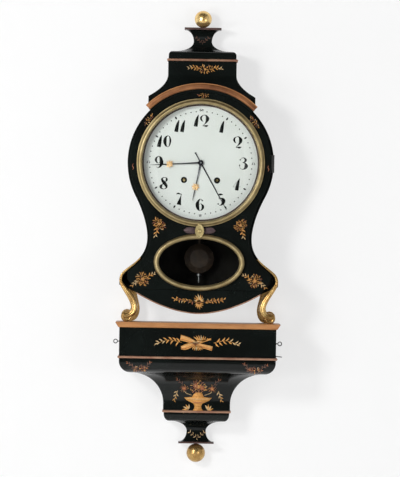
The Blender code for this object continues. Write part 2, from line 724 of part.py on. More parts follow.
# Heights, depths and places that follow from the case sizes
CASE_BOTTOM = SHELF_TOP + LEG_RISE
BULGE_HEIGHT = CASE_BOTTOM + BULGE_RISE
SHOULDER_HEIGHT = BULGE_HEIGHT + SHOULDER_RISE
DOOR_BOTTOM = CASE_BOTTOM + DOOR_RISE
APRON_LOW = SHELF_TOP + APRON_RISE
OVAL_HEIGHT = CASE_BOTTOM + OVAL_RISE
OVAL_TOP = OVAL_HEIGHT + OVAL_INNER[1] + OVAL_BORDER
WAIST_HEIGHT = OVAL_HEIGHT + WAIST_RISE
ROUND_BEZEL_OUTER = CASE_RADIUS - ROUND_MARGIN
ROUND_BEZEL_INNER = ROUND_BEZEL_OUTER - ROUND_BORDER
ROUND_OPENING = ROUND_BEZEL_INNER + BEZEL_LAP
BOSS_HEIGHT = OVAL_TOP + BEZEL_GAP / 2
DIAL_HEIGHT = OVAL_TOP + BEZEL_GAP + ROUND_BEZEL_OUTER
DIAL_RADIUS = ROUND_BEZEL_INNER + DIAL_LAP
SEAT_BOARD_TOP = DIAL_HEIGHT - SEAT_BOARD_DROP
PLATE_TOP = DIAL_HEIGHT + PLATE_RISE
ARCH_INNER = CASE_RADIUS - ARCH_INSIDE
ARCH_FOOT = CASE_RADIUS + ARCH_STEP
ARCH_OUTER = ARCH_FOOT + ARCH_WIDTH
HINGE_AXIS_HALF = CASE_RADIUS - HINGE_INSIDE
CASE_CROWN = DIAL_HEIGHT + CASE_RADIUS
HOOD_BASE = CASE_CROWN - HOOD_DROP
HOOD_TOP = HOOD_BASE + HOOD_HEIGHT
BELL_HEIGHT = CASE_CROWN + BELL_CLEAR
PENDULUM_BOB_HEIGHT = OVAL_HEIGHT + PENDULUM_BOB_RISE
PENDULUM_FOOT = PENDULUM_BOB_HEIGHT - PENDULUM_BOB_RADIUS - RATING_LENGTH
DIAL_AT = (0.0, DIAL_HEIGHT)
SHELL_BACK = CLOCK_BACK + BACK_THICK + SEAT
DOOR_BACK = CASE_FRONT + SEAT
DOOR_FACE = DOOR_BACK + DOOR_THICK
HOOD_MARGIN = CASE_FRONT - RUN - CLOCK_BACK - HOOD_BASE_HALF
CIRCLE_LEAD = 0.025
WAIST_LEAD_ABOVE = 0.030
WAIST_LEAD_BELOW = 0.044
SHOULDER_LEAD = 0.025
BULGE_LEAD = 0.010
SHOULDER_SLOPE = Vector((0.76, -0.65))

# Scroll legs
LEG_TOP = SHOULDER_HEIGHT + 0.030
STRIP_TOP = 0.0022
KNEE_HEIGHT = CASE_BOTTOM + 0.0315
LEG_CORNER = (CASE_CORNER_HALF + 0.0025, CASE_BOTTOM - 0.0005)
ANKLE_OUT = (CASE_CORNER_HALF + 0.014, SHELF_TOP + 0.034)
ANKLE_IN = (CASE_CORNER_HALF - 0.0045, SHELF_TOP + 0.028)
KNEE_LEAD = 0.017
CALF_LEAD = 0.020
ANKLE_LEAD = 0.016
CORNER_LEAD = 0.0105
TOE_LEAD = 0.009
FOOT_BOTTOM = SHELF_TOP + SEAT
VOLUTE_RADIUS = 0.0133
VOLUTE_HALF = CASE_CORNER_HALF + 0.024
TOE_HALF = CASE_CORNER_HALF + 0.013
FOOT_DEPTH = 0.040
REAR_LEG_DEPTH = 0.030


def case_side():
    """Right half of the case outline, from the top of the circle down to the bottom corner."""
    side = arc(DIAL_AT, CASE_RADIUS, math.pi / 2, CIRCLE_END, 16)
    start = Vector(side[-1])
    tangent = Vector((math.sin(CIRCLE_END), -math.cos(CIRCLE_END)))
    waist = (WAIST_HALF, WAIST_HEIGHT)
    above = (WAIST_HALF, WAIST_HEIGHT + WAIST_LEAD_ABOVE)
    side += bezier(start, start + tangent * CIRCLE_LEAD, above, waist, 6)[1:]
    shoulder = Vector((SHOULDER_HALF, SHOULDER_HEIGHT))
    below = (WAIST_HALF, WAIST_HEIGHT - WAIST_LEAD_BELOW)
    side += bezier(waist, below, shoulder - SHOULDER_SLOPE * SHOULDER_LEAD, shoulder, 8)[1:]
    bulge = (BULGE_HALF, BULGE_HEIGHT)
    over = (BULGE_HALF, BULGE_HEIGHT + BULGE_LEAD)
    side += bezier(shoulder, shoulder + SHOULDER_SLOPE * BULGE_LEAD, over, bulge, 4)[1:]
    side += [(BULGE_HALF, BULGE_HEIGHT - BULGE_LEAD), (CASE_CORNER_HALF, CASE_BOTTOM)]
    return side


def inset_side(distance):
    """The case side moved inwards, point for point."""
    side = case_side()
    return inset(mirrored(side), distance)[: len(side)]


def height_at(side, half):
    """Height where the lower flank of a side line passes a half-width."""
    flank = [point for point in side if point[1] < WAIST_HEIGHT]
    for (x0, z0), (x1, z1) in zip(flank, flank[1:]):
        if x0 <= half <= x1:
            return z0 + (z1 - z0) * (half - x0) / (x1 - x0)
    return flank[-1][1]


def half_at(side, height):
    """Half-width of a side line at a height."""
    for (x0, z0), (x1, z1) in zip(side, side[1:]):
        if z1 <= height <= z0:
            return x0 + (x1 - x0) * (z0 - height) / (z0 - z1)
    return side[-1][0]


def make_case():
    """Back board, bent shell, seat board, apron and arch moulding."""
    outline = mirrored(case_side())
    piece("case_back", "softwood", prism(outline, "Y", -CLOCK_BACK, -CLOCK_BACK - BACK_THICK))
    shell = piece(
        "case_shell",
        "black_lacquer",
        frame_loops(outline, inset(outline, CASE_WALL), "Y", -SHELL_BACK, -CASE_FRONT),
        closed=True,
    )
    slot_low = (-BELL_SLOT_HALF, -BELL_DEPTH - 0.010, CASE_CROWN - 0.020)
    cut(shell, box_loops(slot_low, (BELL_SLOT_HALF, -BELL_DEPTH + 0.010, CASE_CROWN + 0.010)))
    board_low = SEAT_BOARD_TOP - SEAT_BOARD_THICK
    board_half = half_at(inset_side(CASE_WALL + SEAT), board_low)
    board_front = -FRONT_PLATE_FACE - 0.006
    board_back = -BELL_DEPTH - 0.012
    board = box_loops((-board_half, board_front, board_low), (board_half, board_back, SEAT_BOARD_TOP))
    piece("seat_board", "softwood", board)
    make_apron()
    make_arch_moulding()


def make_apron():
    """The shaped rail under the door, between the legs."""
    top = DOOR_BOTTOM - SWING
    knee_half = DOOR_FOOT_HALF + SWING
    rise = (top - LEG_CORNER[1]) / (KNEE_HEIGHT - LEG_CORNER[1])
    top_half = LEG_CORNER[0] + (knee_half - LEG_CORNER[0]) * rise - SWING
    corner = (LEG_CORNER[0] - SWING, LEG_CORNER[1])
    right = [(0.0, top), (top_half, top), corner]
    steps = 10
    for step in range(1, steps + 1):
        share = 1 - step / steps
        right.append((corner[0] * share, APRON_LOW + (corner[1] - APRON_LOW) * share**APRON_POWER))
    piece("apron", "black_lacquer", prism(mirrored(right), "Y", -DOOR_BACK, -DOOR_FACE))


def make_arch_moulding():
    """The gilt arch over the door, with returns along both sides of the case."""
    back = -DOOR_BACK
    front = -DOOR_FACE - ARCH_PROUD
    section = [
        (ARCH_INNER, back),
        (ARCH_INNER, -DOOR_FACE),
        (ARCH_FOOT, -DOOR_FACE),
        (ARCH_FOOT, front + 0.25 * ARCH_WIDTH),
        (ARCH_FOOT + 0.3 * ARCH_WIDTH, front),
        (ARCH_OUTER - 0.35 * ARCH_WIDTH, front),
        (ARCH_OUTER, front + 0.5 * ARCH_WIDTH),
        (ARCH_OUTER, back),
    ]
    loops = []
    steps = 18
    for step in range(steps + 1):
        turn = ARCH_END + (math.pi - 2 * ARCH_END) * step / steps
        loops.append(
            [Vector((r * math.cos(turn), y, DIAL_HEIGHT + r * math.sin(turn))) for r, y in section]
        )
    arch = piece("arch_moulding", "copper_gilt", loops)
    width = 0.05
    right = arc(DIAL_AT, CASE_RADIUS + SEAT, ARCH_END + 0.002, ARCH_END + width, 3)
    right += arc(DIAL_AT, CASE_RADIUS + ARCH_RETURN, ARCH_END + width, ARCH_END + 0.002, 3)
    for side in (-1, 1):
        strip = [(side * x, z) for x, z in right]
        join(arch, prism(strip, "Y", back - 0.006, -SHELL_BACK - 0.004))


def make_hood():
    """The hollow hood that lifts off the arched top, with its moulding, cap and ball."""
    edge = HOOD_BASE + HOOD_EDGE
    levels = [(HOOD_BASE, HOOD_BASE_HALF), (edge, HOOD_BASE_HALF)]
    steps = 7
    spread = HOOD_BASE_HALF - HOOD_HALF
    for step in range(1, steps + 1):
        share = step / steps
        levels.append((edge + HOOD_FLARE * share, HOOD_HALF + spread * (1 - share) ** 2))
    levels.append((HOOD_TOP, HOOD_HALF))
    back = -CLOCK_BACK
    lift = (0.0, back, HOOD_BASE)
    hood = piece("hood", "black_lacquer", square_stack(levels, back, HOOD_MARGIN), origin=lift)
    hollow = [(height, half - HOOD_WALL) for height, half in levels]
    hollow[0] = (HOOD_BASE - HOOD_WALL, hollow[0][1])
    hollow[-1] = (HOOD_TOP - HOOD_WALL, hollow[-1][1])
    cut(hood, square_stack(hollow, back - HOOD_WALL, HOOD_MARGIN - HOOD_WALL))
    saddle = CASE_RADIUS + 2 * SEAT
    cut(hood, rod("Y", DIAL_AT, saddle, BOX_WALL, -BOX_DEPTH, SADDLE_STEPS))

    moulding_top = HOOD_TOP + MOULDING_HEIGHT
    moulding = moulding_levels(moulding_top, MOULDING_HEIGHT - SEAT, HOOD_MOULDING_HALF)
    piece("hood_moulding", "copper_gilt", square_stack(moulding, back, HOOD_MARGIN), origin=lift)

    base = moulding_top + SEAT
    turns = [math.pi / 2 * step / 4 for step in range(5)]
    ease = HOOD_OVOLO_HALF * 0.09
    cap = [(base, HOOD_OVOLO_HALF - ease)]
    for turn in turns:
        rise = HOOD_OVOLO * (0.25 + 0.75 * math.sin(turn))
        cap.append((base + rise, HOOD_OVOLO_HALF - ease * (1 - math.cos(turn))))
    cap += cove_levels(HOOD_OVOLO_HALF - 1.2 * ease, HOOD_NECK_HALF, cap[-1][0] + SEAT, HOOD_NECK_BELOW, 7)
    cap += flare_levels(HOOD_NECK_HALF, HOOD_PLATE_HALF - ease / 2, cap[-1][0], HOOD_NECK_ABOVE, 5)[1:]
    plate = cap[-1][0]
    cap += [(plate + SEAT, HOOD_PLATE_HALF), (plate + HOOD_PLATE_THICK, HOOD_PLATE_HALF)]
    piece("hood_cap", "black_lacquer", square_stack(cap, back, HOOD_MARGIN), origin=lift)

    ball_at = (0.0, back - (HOOD_PLATE_HALF + HOOD_MARGIN) / 2)
    ball = ball_profile(HOOD_BALL_RADIUS, cap[-1][0] + SEAT + HOOD_BALL_RADIUS)
    piece("hood_ball", "gilt_wood", turned(ball, "Z", ball_at, TURNED_STEPS), origin=lift)


def leg_foot(ceiling):
    """Lower outline of a right-hand leg under a height, from its outer edge round the toe."""
    bulge = (BULGE_HALF, BULGE_HEIGHT)
    calf = (ANKLE_OUT[0] + 0.002, ANKLE_OUT[1] + CALF_LEAD)
    outer = bezier(bulge, (BULGE_HALF, BULGE_HEIGHT - KNEE_LEAD), calf, ANKLE_OUT, 7)
    toe = [(VOLUTE_HALF - 0.004, FOOT_BOTTOM + 1.5 * VOLUTE_RADIUS), (VOLUTE_HALF, FOOT_BOTTOM)]
    heel = (TOE_HALF - TOE_LEAD, FOOT_BOTTOM)
    sole = bezier((TOE_HALF, FOOT_BOTTOM), heel, (ANKLE_IN[0], ANKLE_IN[1] - ANKLE_LEAD), ANKLE_IN, 5)
    shin = (ANKLE_IN[0] + 0.001, ANKLE_IN[1] + ANKLE_LEAD)
    inner = bezier(ANKLE_IN, shin, (LEG_CORNER[0], LEG_CORNER[1] - CORNER_LEAD), LEG_CORNER, 5)[1:]
    below = [point for point in outer if point[1] < ceiling]
    return below + toe + sole + [point for point in inner if point[1] < ceiling]


def front_leg_outline():
    """A right-hand front leg: a strip down the shoulder that widens into the scroll foot."""
    side = case_side()
    edge = inset_side(DOOR_INSET - SWING)
    knee_half = DOOR_FOOT_HALF + SWING
    knee_top = height_at(edge, knee_half)
    outer = []
    inner = []
    for point, deep in zip(side, edge):
        if not BULGE_HEIGHT <= point[1] <= LEG_TOP:
            continue
        outer.append(point)
        share = (LEG_TOP - point[1]) / (LEG_TOP - knee_top)
        width = STRIP_TOP / DOOR_INSET + (1 - STRIP_TOP / DOOR_INSET) * share
        if share < 1 and deep[0] < knee_half:
            inner.append(tuple(Vector(point).lerp(Vector(deep), min(width, 1))))
    knee = [(knee_half, KNEE_HEIGHT), (knee_half, min(knee_top, inner[-1][1] - SWING))]
    return outer[:-1] + leg_foot(BULGE_HEIGHT + SEAT) + knee + inner[::-1]


def make_legs():
    """Four scroll legs: the front pair runs up the shoulders, the rear pair stops under the case."""
    slope = (BULGE_HEIGHT - BULGE_LEAD - CASE_BOTTOM) / (BULGE_HALF - CASE_CORNER_HALF)
    rear_top = [LEG_CORNER[0], ANKLE_OUT[0] + 0.020]
    rear_top = [(half, CASE_BOTTOM + (half - CASE_CORNER_HALF) * slope - SEAT) for half in rear_top]
    rear = [rear_top[1]] + leg_foot(LEG_CORNER[1] - 0.001) + [rear_top[0]]
    front = front_leg_outline()
    foot = leg_foot(CASE_BOTTOM - 0.004)
    volute_at = FOOT_BOTTOM + VOLUTE_RADIUS
    for side, word in ((-1, "left"), (1, "right")):
        at = (side * VOLUTE_HALF, volute_at)
        turned_front = [(side * x, z) for x, z in front]
        leg = piece("leg_front_" + word, "gilt_wood", prism(turned_front, "Y", -DOOR_BACK, -DOOR_FACE))
        heel = -DOOR_FACE + FOOT_DEPTH
        join(leg, prism([(side * x, z) for x, z in foot], "Y", -DOOR_FACE + 0.001, heel))
        join(leg, rod("Y", at, VOLUTE_RADIUS, -DOOR_FACE - 0.001, heel - 0.001, BORE_STEPS))
        turned_rear = [(side * x, z) for x, z in rear]
        toe = -CLOCK_BACK - REAR_LEG_DEPTH
        rear_leg = piece("leg_rear_" + word, "gilt_wood", prism(turned_rear, "Y", -CLOCK_BACK, toe))
        join(rear_leg, rod("Y", at, VOLUTE_RADIUS, -CLOCK_BACK - 0.001, toe + 0.001, BORE_STEPS))


# Door fittings
HINGE_AXIS = (HINGE_AXIS_HALF, -DOOR_FACE, DIAL_HEIGHT)
GLASS_LAP = 0.004
GLASS_BACK = DOOR_FACE + SEAT
LIP = GLASS_THICK + 3 * SEAT
BEZEL_FRONT = DOOR_FACE + SEAT + BEZEL_PROUD


def door_outline():
    """Full-height front door: round above, waisted, and cut straight between the legs below."""
    edge = inset_side(DOOR_INSET)
    right = [point for point in edge if point[1] > KNEE_HEIGHT and point[0] < DOOR_FOOT_HALF]
    right.append((DOOR_FOOT_HALF, min(height_at(edge, DOOR_FOOT_HALF), right[-1][1] - SWING)))
    right.append((DOOR_FOOT_HALF, KNEE_HEIGHT))
    rise = (DOOR_BOTTOM - LEG_CORNER[1]) / (KNEE_HEIGHT - LEG_CORNER[1])
    right.append((LEG_CORNER[0] + (DOOR_FOOT_HALF - LEG_CORNER[0]) * rise - SWING, DOOR_BOTTOM))
    return mirrored(right)


def ring_loops(profile, centre, half_width, half_height):
    """Loops of a round or oval ring: the profile gives (distance outside the base curve, depth)."""
    loops = []
    for out, y in profile:
        curve = ellipse(centre, half_width + out, half_height + out, ROUND_STEPS)
        loops.append([place("Y", x, z, y) for x, z in curve])
    return loops


def bezel_profile(border):
    """Section of a brass bezel: a back face, a stepped outer edge, a crest and a lip over the glass."""
    back = -DOOR_FACE - SEAT
    crest = border * 0.52
    return [
        (GLASS_LAP + SEAT, back),
        (border, back),
        (border, back - BEZEL_PROUD * 0.35),
        (border * 0.78, back - BEZEL_PROUD * 0.70),
        (crest, back - BEZEL_PROUD),
        (0.0, back - BEZEL_PROUD * 0.62),
        (0.0, back - LIP),
        (GLASS_LAP + SEAT, back - LIP),
    ]


def make_door():
    """The door board with its two glazed bezels, the boss between them and its half of the hinge."""
    axis = HINGE_AXIS
    door = piece("door", "black_lacquer", prism(door_outline(), "Y", -DOOR_BACK, -DOOR_FACE), origin=axis)
    through = (-DOOR_BACK + REBATE, -DOOR_FACE - REBATE)
    cut(door, rod("Y", DIAL_AT, ROUND_OPENING, *through, ROUND_STEPS))
    oval_at = (0.0, OVAL_HEIGHT)
    oval = ellipse(oval_at, OVAL_INNER[0] + BEZEL_LAP, OVAL_INNER[1] + BEZEL_LAP, ROUND_STEPS)
    cut(door, prism(oval, "Y", *through))

    round_ring = ring_loops(bezel_profile(ROUND_BORDER), DIAL_AT, ROUND_BEZEL_INNER, ROUND_BEZEL_INNER)
    piece("dial_bezel", "brass", round_ring, closed=True, origin=axis)
    oval_ring = ring_loops(bezel_profile(OVAL_BORDER), oval_at, *OVAL_INNER)
    piece("oval_bezel", "brass", oval_ring, closed=True, origin=axis)
    make_glasses(axis)
    make_boss(axis)
    make_hinge()


def make_glasses(axis):
    """A domed glass over the dial and a flat oval glass over the pendulum."""
    rim = ROUND_BEZEL_INNER + GLASS_LAP
    shoulder = ROUND_BEZEL_INNER - 0.002
    shares = (0.15, 0.60, 1.0)
    front = [(shoulder * s, -GLASS_BACK - GLASS_THICK - GLASS_RISE * (1 - s**2)) for s in shares]
    back = [(radius, y + GLASS_THICK) for radius, y in reversed(front)]
    profile = front + [(rim, -GLASS_BACK - GLASS_THICK), (rim, -GLASS_BACK)] + back
    piece("dial_glass", "glass", turned(profile, "Y", DIAL_AT, ROUND_STEPS // 2), origin=axis)
    pane = ellipse((0.0, OVAL_HEIGHT), OVAL_INNER[0] + GLASS_LAP, OVAL_INNER[1] + GLASS_LAP, ROUND_STEPS)
    piece("oval_glass", "glass", prism(pane, "Y", -GLASS_BACK, -GLASS_BACK - GLASS_THICK), origin=axis)


def make_boss(axis):
    """A pointed almond boss with a raised rim and a pearl, on a peg between the two bezels."""
    back = -BEZEL_FRONT - SEAT
    almond = [(u * math.sqrt(abs(u)), v) for u, v in circle((0, 0), 1, BORE_STEPS)]
    loops = []
    rim = [(1.0, 0.0), (1.0, 0.35), (0.86, 0.65), (0.72, 0.45)]
    pearl = [(0.56, 0.45), (0.42, 0.85), (0.12, 1.0)]
    for scale, depth in rim + pearl:
        y = back - BOSS_THICK * depth
        half_width = BOSS_HALF[0] * scale
        half_height = BOSS_HALF[1] * scale
        loops.append([Vector((half_width * u, y, BOSS_HEIGHT + half_height * v)) for u, v in almond])
    boss = piece("boss", "brass", loops, origin=axis)
    peg = BEZEL_GAP / 2 - RUN
    join(boss, rod("Y", (0.0, BOSS_HEIGHT), peg, -DOOR_FACE - SEAT, back - BOSS_THICK * 0.2, BORE_STEPS))


def make_hinge():
    """A pin hinge at the widest point of the circle: one knuckle on the door, two and the pin on the case."""
    centre = (HINGE_AXIS[0], HINGE_AXIS[1])
    inner = CASE_RADIUS - DOOR_INSET + SEAT
    outer = HINGE_AXIS_HALF - HINGE_KNUCKLE - SWING / 2
    spread = math.asin(HINGE_LENGTH / 2 / inner)
    band = arc(DIAL_AT, inner, -spread, spread, 4) + arc(DIAL_AT, outer, spread, -spread, 4)
    band_loops = prism(band, "Y", -DOOR_BACK - RUN, -DOOR_FACE + RUN)
    leaf = piece("door_hinge_leaf", "brass", band_loops, origin=HINGE_AXIS)
    middle = HINGE_MIDDLE / 2 - SEAT
    tongue_low = (inner + RUN, -DOOR_FACE + RUN, DIAL_HEIGHT - middle + RUN)
    tongue_high = (HINGE_AXIS_HALF, -DOOR_FACE + HINGE_KNUCKLE - RUN, DIAL_HEIGHT + middle - RUN)
    join(leaf, box_loops(tongue_low, tongue_high))
    join(leaf, rod("Z", centre, HINGE_KNUCKLE, DIAL_HEIGHT - middle, DIAL_HEIGHT + middle, 12))
    end = HINGE_LENGTH / 2
    cut(leaf, rod("Z", centre, HINGE_PIN + SEAT, DIAL_HEIGHT - end, DIAL_HEIGHT + end))

    left = outer + SWING
    right = CASE_RADIUS
    low = DIAL_HEIGHT - end
    high = DIAL_HEIGHT + end
    web = -DOOR_FACE + HINGE_KNUCKLE + SWING
    plate = box_loops((left, web, low), (right, -DOOR_BACK, high))
    case_leaf = piece("case_hinge_leaf", "brass", plate)
    for side in (-1, 1):
        near = DIAL_HEIGHT + side * HINGE_MIDDLE / 2
        far = DIAL_HEIGHT + side * end
        join(case_leaf, rod("Z", centre, HINGE_KNUCKLE, near, far, 12))
        cheek_low = (left + 0.0006, -DOOR_FACE, min(near, far) + 0.0002)
        join(case_leaf, box_loops(cheek_low, (right - 0.0004, web + 0.002, max(near, far) - 0.0002)))
    join(case_leaf, rod("Z", centre, HINGE_PIN, low + 0.001, high - 0.001))


def make_door_catch():
    """A brass spring catch inside the left wall of the case; its rounded nose bears on the door."""
    wall = inset_side(CASE_WALL + SEAT)
    half = 0.008
    outer = min(half_at(wall, DIAL_HEIGHT - half), half_at(wall, DIAL_HEIGHT + half))
    low = (-outer, -CASE_FRONT + 0.001, DIAL_HEIGHT - half)
    high = (-outer + half, -CASE_FRONT + 0.018, DIAL_HEIGHT + half)
    catch = piece("door_catch", "brass", box_loops(low, high))
    nose = [(0.003, -CASE_FRONT + 0.003), (0.003, -CASE_FRONT + 0.0005), (0.0015, -CASE_FRONT)]
    join(catch, turned(nose, "Y", (-outer + 0.004, DIAL_HEIGHT), ARBOR_STEPS))


# Dial, hands and the wheels behind them
HOUR_TUBE = ARBOR + RUN + 0.0011
ALARM_TUBE = HOUR_TUBE + RUN + 0.0011
HAND_STEP = HAND_THICK + HAND_SPACE
ALARM_BACK = DIAL_FACE + HAND_SPACE
HOUR_BACK = ALARM_BACK + HAND_STEP
MINUTE_BACK = HOUR_BACK + HAND_STEP
HUB_RADIUS = 0.0075


def from_dial(offset):
    """A place in the (x, z) plane measured from the dial centre."""
    return (offset[0], DIAL_HEIGHT + offset[1])


def make_dial():
    """Enamel dial with its centre and winding holes, and three feet that stand on the front plate."""
    disc = rod("Y", DIAL_AT, DIAL_RADIUS, -DIAL_FACE, -DIAL_FACE + DIAL_THICK, ROUND_STEPS)
    dial = piece("dial", "enamel", disc)
    through = (-DIAL_FACE - RUN, -DIAL_FACE + DIAL_THICK + RUN)
    cut(dial, rod("Y", DIAL_AT, ALARM_TUBE + RUN, *through, BORE_STEPS))
    for side in (-1, 1):
        at = from_dial((side * WINDING_HALF, -WINDING_DROP))
        cut(dial, rod("Y", at, WINDING_HOLE, *through, BORE_STEPS))
    for foot in ((0.0, 0.070), (-0.070, -0.030), (0.070, -0.030)):
        root = -DIAL_FACE + DIAL_THICK / 2
        join(dial, rod("Y", from_dial(foot), PILLAR_RADIUS * 0.8, root, -FRONT_PLATE_FACE - SEAT))


def make_hand(name, finish, shape, angle, back, bore):
    """A flat hand pointing at a clockwise angle from twelve: the shape gives (reach, half-width) along it."""
    along = Vector((math.sin(angle), math.cos(angle)))
    across = Vector((along.y, -along.x))
    centre = Vector(DIAL_AT)
    outline = [tuple(centre + along * u + across * v) for u, v in shape]
    outline += [tuple(centre + along * u - across * v) for u, v in reversed(shape)]
    origin = (0.0, -back, DIAL_HEIGHT)
    hand = piece(name, finish, prism(outline, "Y", -back, -back - HAND_THICK), origin=origin)
    join(hand, rod("Y", DIAL_AT, HUB_RADIUS, -back, -back - HAND_THICK * 1.2, BORE_STEPS))
    cut(hand, rod("Y", DIAL_AT, bore, -back + HAND_THICK, -back - 2 * HAND_THICK, BORE_STEPS))
    return hand


def blossom_hand(reach, blossom_share):
    """Half-widths along a hand with a round blossom at a share of its reach."""
    middle = reach * blossom_share
    blossom = HAND_BLOSSOM
    return [
        (HUB_RADIUS / 2, 0.35 * blossom),
        (middle - 2 * blossom, 0.18 * blossom),
        (middle - 1.1 * blossom, 0.72 * blossom),
        (middle, blossom),
        (middle + 1.1 * blossom, 0.72 * blossom),
        (middle + 2 * blossom, 0.2 * blossom),
        (reach, 0.05 * blossom),
    ]


def make_hands():
    """Hour and minute hands with a pierced blossom, and the long thin alarm hand behind them."""
    minute = blossom_hand(MINUTE_SHARE * DIAL_RADIUS, 0.62)
    hour = blossom_hand(HOUR_SHARE * DIAL_RADIUS, 0.643)
    tail = 0.3 * ALARM_TAIL
    reach = ALARM_SHARE * DIAL_RADIUS
    alarm = [
        (-ALARM_TAIL, 0.37 * tail),
        (tail - ALARM_TAIL, 0.13 * tail),
        (0.0, 0.16 * tail),
        (reach, 0.04 * tail),
    ]
    make_hand("minute_hand", "blued_steel", minute, MINUTE_ANGLE, MINUTE_BACK, ARBOR + SEAT)
    make_hand("hour_hand", "blued_steel", hour, HOUR_ANGLE, HOUR_BACK, HOUR_TUBE + SEAT)
    hand = make_hand("alarm_hand", "steel", alarm, ALARM_ANGLE, ALARM_BACK, HOUR_TUBE + RUN)
    tube = frame_loops(
        circle(DIAL_AT, ALARM_TUBE, BORE_STEPS),
        circle(DIAL_AT, HOUR_TUBE + RUN, BORE_STEPS),
        "Y",
        -DIAL_FACE + DIAL_THICK,
        -ALARM_BACK - HAND_THICK / 2,
    )
    join(hand, tube, closed=True)


# Arbor places in the (x, z) plane and wheel depths behind the front plate
GOING_AT = from_dial((WINDING_HALF, -WINDING_DROP))
STRIKE_AT = from_dial((-WINDING_HALF, -WINDING_DROP))
THIRD = from_dial(THIRD_AT)
ESCAPE = from_dial(ESCAPE_AT)
ANCHOR = (ESCAPE[0], ESCAPE[1] + ANCHOR_RISE)
STRIKE_WHEEL = from_dial(STRIKE_WHEEL_AT)
STRIKE_FLY = from_dial(STRIKE_FLY_AT)
HAMMER = from_dial(HAMMER_AT)
MINUTE_WHEEL = from_dial(MINUTE_WHEEL_AT)
FRONT_REAR = FRONT_PLATE_FACE - PLATE_THICKNESS
BACK_FRONT = FRONT_REAR - PLATES_APART
BACK_REAR = BACK_FRONT - PLATE_THICKNESS
GOING_GREAT_Y = -FRONT_REAR + 0.0030
ESCAPE_Y = -FRONT_REAR + 0.0120
THIRD_Y = -FRONT_REAR + 0.0225
STRIKE_WHEEL_Y = -FRONT_REAR + 0.0255
CENTRE_Y = -FRONT_REAR + 0.0330
STRIKE_GREAT_Y = -FRONT_REAR + 0.0410
CANNON_Y = -FRONT_PLATE_FACE - 0.0035
HOUR_WHEEL_Y = -FRONT_PLATE_FACE - 0.0068
WINDING_ARBOR = 0.0028
PINION_OVERLAP = 0.0015
STUD = 0.0014
ARBOR_FRONT = -FRONT_PLATE_FACE + RUN
ARBOR_BACK = -BACK_REAR - RUN


def make_plates():
    """Two movement plates with their pillars, the minute stud and the pendulum cock."""
    corner = 0.010
    low = SEAT_BOARD_TOP + SEAT
    right = [
        (0.0, PLATE_TOP),
        (PLATE_HALF_WIDTH - corner, PLATE_TOP),
        (PLATE_HALF_WIDTH, PLATE_TOP - corner),
        (PLATE_HALF_WIDTH, low),
    ]
    outline = mirrored(right)
    front = piece("front_plate", "brass", prism(outline, "Y", -FRONT_PLATE_FACE, -FRONT_REAR))
    join(front, rod("Y", MINUTE_WHEEL, STUD, -FRONT_REAR - RUN, HOUR_WHEEL_Y - WHEEL_THICK))
    back = piece("back_plate", "brass", prism(outline, "Y", -BACK_FRONT, -BACK_REAR))
    for side in (-1, 1):
        for height in (low + corner, PLATE_TOP - corner):
            at = (side * (PLATE_HALF_WIDTH - corner), height)
            join(back, rod("Y", at, PILLAR_RADIUS, -BACK_REAR - RUN, -FRONT_REAR + SEAT, WINDING_STEPS))
    cock_low = (-0.006, -BACK_REAR - RUN, ANCHOR[1] + 0.005)
    join(back, box_loops(cock_low, (0.006, -PENDULUM_DEPTH + 0.006, PLATE_TOP - SEAT)))
    holes = [(at, WINDING_ARBOR, WINDING_STEPS) for at in (GOING_AT, STRIKE_AT)]
    for at in (DIAL_AT, THIRD, ESCAPE, ANCHOR, STRIKE_WHEEL, STRIKE_FLY, HAMMER):
        holes.append((at, ARBOR, ARBOR_STEPS))
    for at, radius, steps in holes:
        cut(front, rod("Y", at, radius + RUN, -FRONT_PLATE_FACE - RUN, -FRONT_REAR + RUN, steps))
        cut(back, rod("Y", at, radius + RUN, -BACK_FRONT - RUN, -BACK_REAR + RUN, steps))


def wheel_on_arbor(name, at, outline, y, front=ARBOR_FRONT, back=ARBOR_BACK):
    """A brass wheel fixed on its steel arbor."""
    wheel = piece(name, "brass", prism(outline, "Y", y, y + WHEEL_THICK), origin=(at[0], y, at[1]))
    join(wheel, rod("Y", at, ARBOR, front, back))
    return wheel


def add_pinion(wheel, outline, y):
    """A pinion on a wheel's arbor, a little wider than the wheel it meets."""
    join(wheel, prism(outline, "Y", y - PINION_OVERLAP, y + WHEEL_THICK + PINION_OVERLAP))


def make_barrel(name, at, outline, wheel_y, drum_from, drum_to):
    """A spring barrel with its great wheel and a winding square that shows in the dial."""
    origin = (at[0], wheel_y, at[1])
    barrel = piece(name, "brass", prism(outline, "Y", wheel_y, wheel_y + WHEEL_THICK), origin=origin)
    join(barrel, rod("Y", at, BARREL_RADIUS, drum_from, drum_to, TURNED_STEPS))
    join(barrel, rod("Y", at, WINDING_ARBOR, -FRONT_PLATE_FACE - 0.004, ARBOR_BACK, WINDING_STEPS))
    join(barrel, rod("Y", at, WINDING_ARBOR * 1.1, -DIAL_FACE - 0.001, -FRONT_PLATE_FACE - 0.002, 4))


